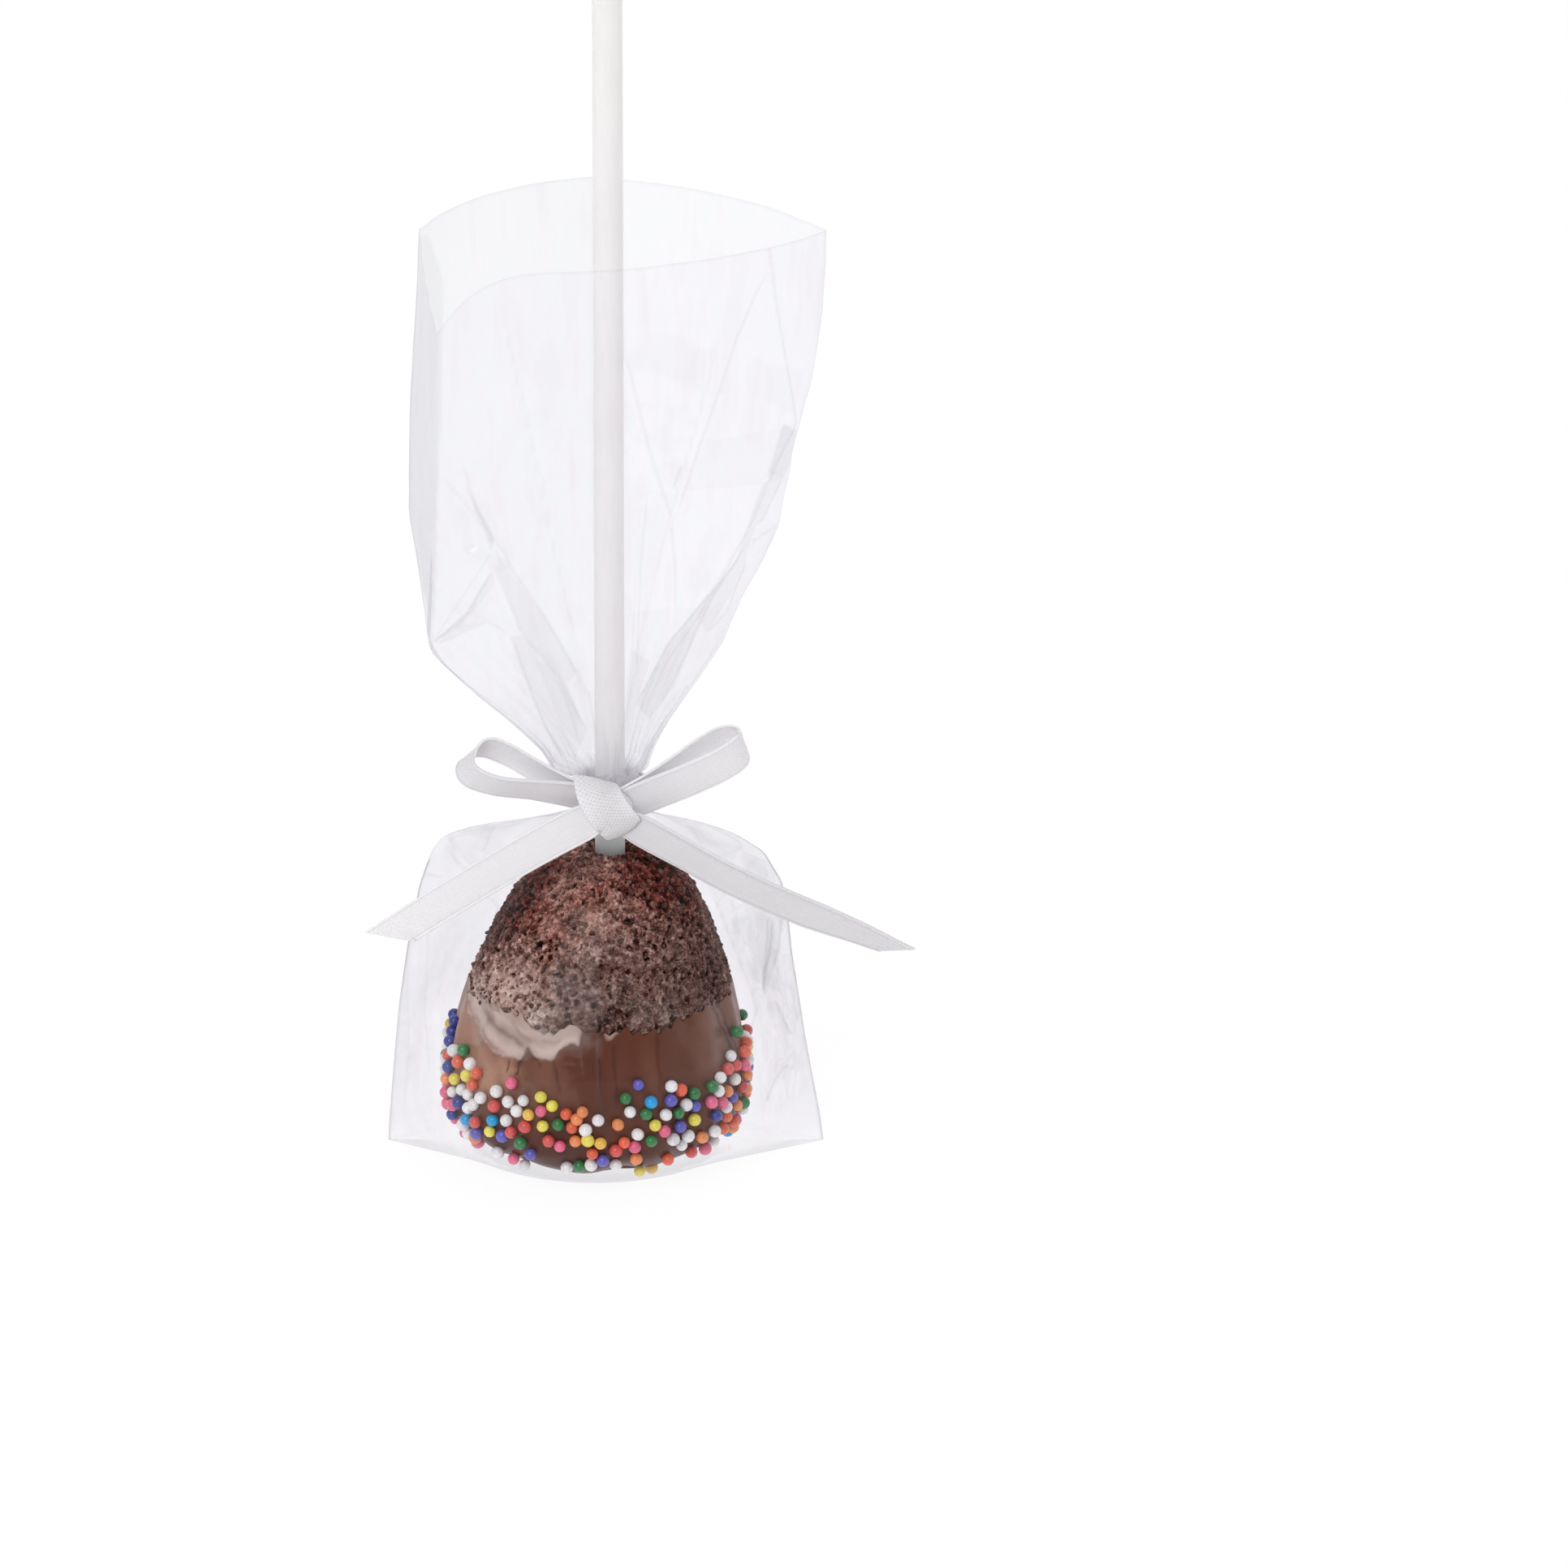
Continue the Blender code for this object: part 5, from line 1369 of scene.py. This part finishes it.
ribbonFacts = {
    "width": 5.0,
    "thickness": 0.26,
    "selvedge": 0.38,
    "selvedgeThickness": 0.44,
    "step": 0.4,
    "knot": (0, -7.15, 50.2),
    "knotRadii": (3.2, 1.75, 2.9),
    "wrapRadius": 4.77,
    "wrapHeight": 3.4,
    "loopSide": (0, 0.79, 0.61),  # the loops open up and back
    # each strip's shade pair is painted light and shade for its start and end: lighter where light falls on
    # the strip, darker where it turns away
    "leftLoop": {"out": (-0.95, 0.22, 0.20), "shade": (1.03, 0.81), "crown": 0.2, "shape": [(0.5, 0.6),
        (5.5, 1.1), (11, 2.5), (15.5, 3.8), (18.3, 3.9), (20, 2.4), (20.2, 0.4), (18.6, -1), (15, -1.3),
        (10, -0.3), (4.5, 0.5), (0.5, 0.2)], "across": [(0.0, (0.1, -0.55, 0.83)),
        (0.36, (0.1, -0.55, 0.83)), (0.5, (0.55, -0.60, 0.58)), (0.62, (0.35, -0.65, 0.68)),
        (0.75, (0.1, -0.64, 0.75)), (1.0, (0.1, -0.35, 0.93))]},
    "rightLoop": {"out": (0.86, 0.42, 0.30), "shade": (1.10, 1.08), "crown": -0.55, "shape": [(0.5, 0.2),
        (5.5, 0.1), (10.5, 0.6), (15, 1.3), (18.4, 1.4), (20.2, 0.3), (19.4, -1.1), (16.2, -1.6),
        (11, -1.4), (5.5, -0.9), (0.5, -0.5)], "across": [(0.0, (-0.3, -0.5, 0.8)),
        (0.4, (-0.38, -0.36, 0.85)), (0.5, (-0.34, -0.2, 0.92)), (0.6, (-0.34, -0.2, 0.92)),
        (1.0, (-0.3, -0.2, 0.91))]},
    "leftTail": {"path": [(-0.8, -7.6, 49.7), (-7, -8.6, 46.7), (-13.5, -9.6, 43.2), (-23.2, -11, 37.5),
        (-29.3, -11.7, 33.6)], "across": [(0.0, (0, 0.45, 1)), (1.0, (0, 0.70, 1))],
        "cut": 2.6, "shade": (1.06, 1.06)},
    "rightTail": {"path": [(1, -7.3, 48.9), (8.5, -9, 45.2), (16, -11, 41.6), (24.7, -12, 37.8),
        (33.4, -12, 34.2), (38.2, -12, 31.9)], "across": [(0.0, (0, -0.15, 1)), (0.7, (0, -0.35, 1)),
        (1.0, (0, -0.9, 1))], "cut": 1.9, "shade": (0.76, 0.73)},
    "band": {"path": [(-2, -5.3, 52.9), (-2, -6.6, 53.8), (-1.3, -8.6, 52.4), (0.1, -9.1, 50.1),
                      (1.6, -8.3, 47.9), (2.3, -6.6, 46.9), (2.3, -5.3, 47.6)],
             "across": [(0.0, (0.96, 0, -0.27)), (0.12, (0.96, 0, -0.27)), (0.4, (0.97, 0, 0.1)),
                        (0.88, (0.87, 0, 0.48)), (1.0, (0.87, 0, 0.48))],
             "section": {"width": 5.8, "selvedge": 0.2, "selvedgeThickness": 0.26},
             "edges": 0.68,  # no selvedge shows on the knot
             "crown": 0.3, "shade": (1.07, 1.07)},
    "wrap": {"across": [(0.0, (0, 0, 1))]},
    "weave": 0.5,  # threads this far apart
    "endPinch": 0.12,
    "startPinch": 0.22,
    "pinchReach": 0.06,
}


def spline(points, steps=24):
    nodes = [Vector(p) for p in points]
    nodes = [2 * nodes[0] - nodes[1]] + nodes + [2 * nodes[-1] - nodes[-2]]
    path = []
    for p0, p1, p2, p3 in zip(nodes, nodes[1:], nodes[2:], nodes[3:]):
        for step in range(steps):
            t = step / steps
            path.append(0.5 * (2 * p1 + (p2 - p0) * t + (2 * p0 - 5 * p1 + 4 * p2 - p3) * t * t
                               + (3 * p1 - p0 - 3 * p2 + p3) * t ** 3))
    path.append(nodes[-2])
    return path


def evenPath(path, step):
    points = np.array([tuple(p) for p in path])
    run = np.concatenate([[0.0], np.cumsum(np.linalg.norm(np.diff(points, axis=0), axis=1))])
    even = np.linspace(0.0, run[-1], max(3, round(run[-1] / step)))
    return np.stack([np.interp(even, run, points[:, axis]) for axis in range(3)], 1), even


def loopPath(loop, facts):
    out = Vector(loop["out"]).normalized()
    side = Vector(facts["loopSide"])
    side = (side - out * side.dot(out)).normalized()
    return spline([Vector(facts["knot"]) + out * a + side * b for a, b in loop["shape"]])


def ribbonSection(facts):  # places across the ribbon, and half the thickness at each
    half, edge = facts["width"] / 2, facts["selvedge"]
    thin, thick = facts["thickness"] / 2, facts["selvedgeThickness"] / 2
    across = [half, half - 0.06, half - edge / 2, half - edge, half - edge - 0.08, 1.4, 0.7, 0.0]
    across += [-a for a in across[-2::-1]]
    body = [0.02, thick * 0.75, thick, thick * 0.85, thin, thin, thin, thin]
    body += body[-2::-1]
    return np.array(across), np.array(body)


def ribbonStrip(name, path, facts, pinch=None, weave=0.45):
    strip, width = facts[name], facts["width"]
    points, along = evenPath(path, facts["step"])
    share = along / along[-1]
    ahead = np.gradient(points, axis=0)
    ahead /= np.linalg.norm(ahead, axis=1, keepdims=True)
    keys, ways = zip(*strip["across"])  # share of the length, and direction across
    ups = np.stack([np.interp(share, keys, values) for values in zip(*ways)], 1)
    wide = ups - ahead * np.sum(ups * ahead, axis=1, keepdims=True)
    wide /= np.linalg.norm(wide, axis=1, keepdims=True)
    over = np.cross(ahead, wide)
    across, body = ribbonSection(facts)
    across = np.concatenate([across, across[-2:0:-1]])[::-1]
    body = np.concatenate([body, -body[-2:0:-1]])[::-1]
    narrow = np.ones(len(points)) if pinch is None else pinch(share)
    fromEnd = smoothStep(0.0, 1.0, (np.arange(len(points)) - len(points) + 9) / 8)
    slant = strip.get("cut", 0.0) * fromEnd[:, None] * across / (width / 2)
    lift = body + strip.get("crown", 0.0) * (1 - (2 * across / width) ** 2)
    grid = points[:, None] + wide[:, None] * (across * narrow[:, None])[:, :, None]
    grid = grid + over[:, None] * lift[:, None] + ahead[:, None] * slant[:, :, None]
    mesh = gridMesh(name, grid, capEnds=True)
    # painted light and shade along the strip
    first, last = strip.get("shade", (1.0, 1.0))
    ends = np.interp(share, [0.0, 0.42, 0.58, 1.0], [first, first, last, last])
    shape = grid.shape[:2]
    addValues(mesh, across=np.broadcast_to(across * strip.get("edges", 1.0), shape),
              along=np.broadcast_to(along[:, None], shape),
              shade=np.broadcast_to(ends[:, None], shape), weave=np.full(shape, weave))
    return newObject(name, mesh)


def ribbonMaterial(facts):
    material, tree, shader = newMaterial(
        "wovenRibbon", Roughness=0.5, Sheen_Weight=0.25, Subsurface_Weight=0.6,
        Subsurface_Scale=0.0015, Subsurface_Radius=(1.0, 1.0, 1.0))[:3]
    across = valueOf(tree, "across")
    turns = 2 * math.pi / facts["weave"]
    weft = calc(tree, "SINE", times(tree, valueOf(tree, "along"), turns))
    warp = calc(tree, "SINE", times(tree, across, turns))
    threads = plus(tree, times(tree, weft, warp, 0.9), times(tree, warp, 0.12))
    fromEdge = minus(tree, facts["width"] / 2 - facts["selvedge"], calc(tree, "ABSOLUTE", across))
    edge = calc(tree, "LESS_THAN", fromEdge, 0.0)
    groove = calc(tree, "LESS_THAN", calc(tree, "ABSOLUTE", fromEdge), 0.07)
    height = times(tree, threads, minus(tree, 1.0, edge), valueOf(tree, "weave"))
    tone = plus(tree, times(tree, height, 0.36), 0.5, times(tree, edge, 0.3))
    tone = minus(tree, tone, times(tree, groove, 0.5))
    colour = ramp(tree, tone, [(0.12, (0.69, 0.66, 0.705)), (0.5, (0.878, 0.852, 0.895)),
                               (0.8, (0.925, 0.90, 0.94))])
    # the colour is scaled by the strip's painted light and shade
    dress(tree, shader, vectorCalc(tree, "SCALE", colour, valueOf(tree, "shade")), height, 0.00006, 0.7)
    return material


def makeRibbon(facts):

    def pinchAtEnds(share):
        return 1 - facts["endPinch"] * np.exp(-(np.minimum(share, 1 - share) / facts["pinchReach"]) ** 2)

    def pinchAtStart(share):
        return 1 - facts["startPinch"] * np.exp(-(share / facts["pinchReach"]) ** 2)

    parts = [ribbonStrip(name, loopPath(facts[name], facts), facts, pinchAtEnds)
             for name in ("leftLoop", "rightLoop")]
    parts += [ribbonStrip(name, spline(facts[name]["path"]), facts, pinchAtStart)
              for name in ("leftTail", "rightTail")]
    band = facts["band"]
    parts.append(ribbonStrip("band", spline(band["path"]), {**facts, **band["section"]}, weave=1.0))
    knot, radii = np.array(facts["knot"]), np.array(facts["knotRadii"])
    ringPath = ringPoints(np.linspace(0.0, 2 * math.pi, 121) - 1.57, facts["wrapRadius"], knot[2])
    parts.append(ribbonStrip("wrap", ringPath, {**facts, "width": facts["wrapHeight"]}))
    rings = [ringPoints(circle(28), math.sin(polar), -math.cos(polar)) * radii + knot
             for polar in np.linspace(0.0, math.pi, 19)[1:-1]]
    pole = np.array([0.0, 0.0, radii[2]])
    core = gridMesh("core", np.array(rings), first=knot - pole, last=knot + pole)
    across, ones = [p.co.x / mm * 0.6 for p in core.vertices], np.ones(len(core.vertices))
    addValues(core, across=across, along=[p.co.z / mm for p in core.vertices], shade=ones, weave=ones)
    parts.append(newObject("core", core))
    with bpy.context.temp_override(active_object=parts[0], selected_editable_objects=parts):
        bpy.ops.object.join()
    mesh = parts[0].data.copy()
    mesh.name = "ribbonBow"
    bpy.data.objects.remove(parts[0], do_unlink=True)
    mesh.shade_smooth()
    mesh.set_sharp_from_angle(angle=math.radians(50))
    addPiece("ribbonBow", mesh, ribbonMaterial(facts), "ribbon")


makeRibbon(ribbonFacts)


# Pale floor, soft studio light

studioFacts = {
    "floorRadius": 6.0,
    "floorSides": 96,
    "floorHeight": -0.0003,
    "floorGlow": 0.925,
    "world": {"front": 0.27, "back": 0.92, "right": -0.08, "left": -0.42, "top": 0.05},
    "softbox": {"turn": -116.0, "rise": 36.0, "far": 1.5, "size": (1.1, 1.0), "radiance": 3.4,
                "target": (0.0, 0.0, 0.05)},
}


def makeStudio(facts):
    floor = bpy.data.meshes.new("floor")
    points = ringPoints(circle(facts["floorSides"]), facts["floorRadius"], facts["floorHeight"])
    floor.from_pydata(points.tolist(), [], [list(range(len(points)))])
    material, tree, shader, where = newMaterial("paleFloor", Roughness=0.9, Specular_IOR_Level=0.0,
                                                Emission_Color=(1.0, 1.0, 1.0, 1.0),
                                                Emission_Strength=facts["floorGlow"])
    grain = noiseNode(tree, where, 60.0, 2.0)
    colour = ramp(tree, grain, [(0.3, (0.095, 0.095, 0.10)), (0.7, (0.105, 0.105, 0.105))])
    tree.links.new(colour, shader.inputs["Base Color"])
    floor.materials.append(material)
    ground = newObject("floor", floor)
    world = bpy.data.worlds.new("studio")
    scene.world = world
    world.use_nodes = True
    tree = world.node_tree
    direction = put(tree, "ShaderNodeTexCoord").outputs["Generated"]
    parts = put(tree, "ShaderNodeSeparateXYZ", {0: direction}).outputs
    sky = facts["world"]
    depth = ranged(tree, parts["Y"], (-0.8, 0.4), (sky["front"], sky["back"]))
    right = times(tree, calc(tree, "MAXIMUM", parts["X"], 0.0), sky["right"])
    left = times(tree, calc(tree, "MINIMUM", parts["X"], 0.0), -sky["left"])
    glow = plus(tree, depth, plus(tree, right, left), times(tree, parts["Z"], sky["top"]))
    background = tree.nodes["Background"]
    tree.links.new(glow, background.inputs["Strength"])
    background.inputs["Color"].default_value = (1.0, 1.0, 1.0, 1.0)
    light = facts["softbox"]
    lamp = bpy.data.lights.new("keySoftbox", "AREA")
    lamp.shape = "RECTANGLE"
    lamp.size, lamp.size_y = light["size"]
    lamp.energy = light["radiance"] * math.pi * light["size"][0] * light["size"][1]
    holder = newObject("keySoftbox", lamp)
    turn, rise = math.radians(light["turn"]), math.radians(light["rise"])
    away = Vector((math.cos(turn) * math.cos(rise), math.sin(turn) * math.cos(rise), math.sin(rise)))
    holder.location = Vector(light["target"]) + away * light["far"]
    holder.rotation_euler = away.to_track_quat("Z", "Y").to_euler()


makeStudio(studioFacts)
print("studio ready")
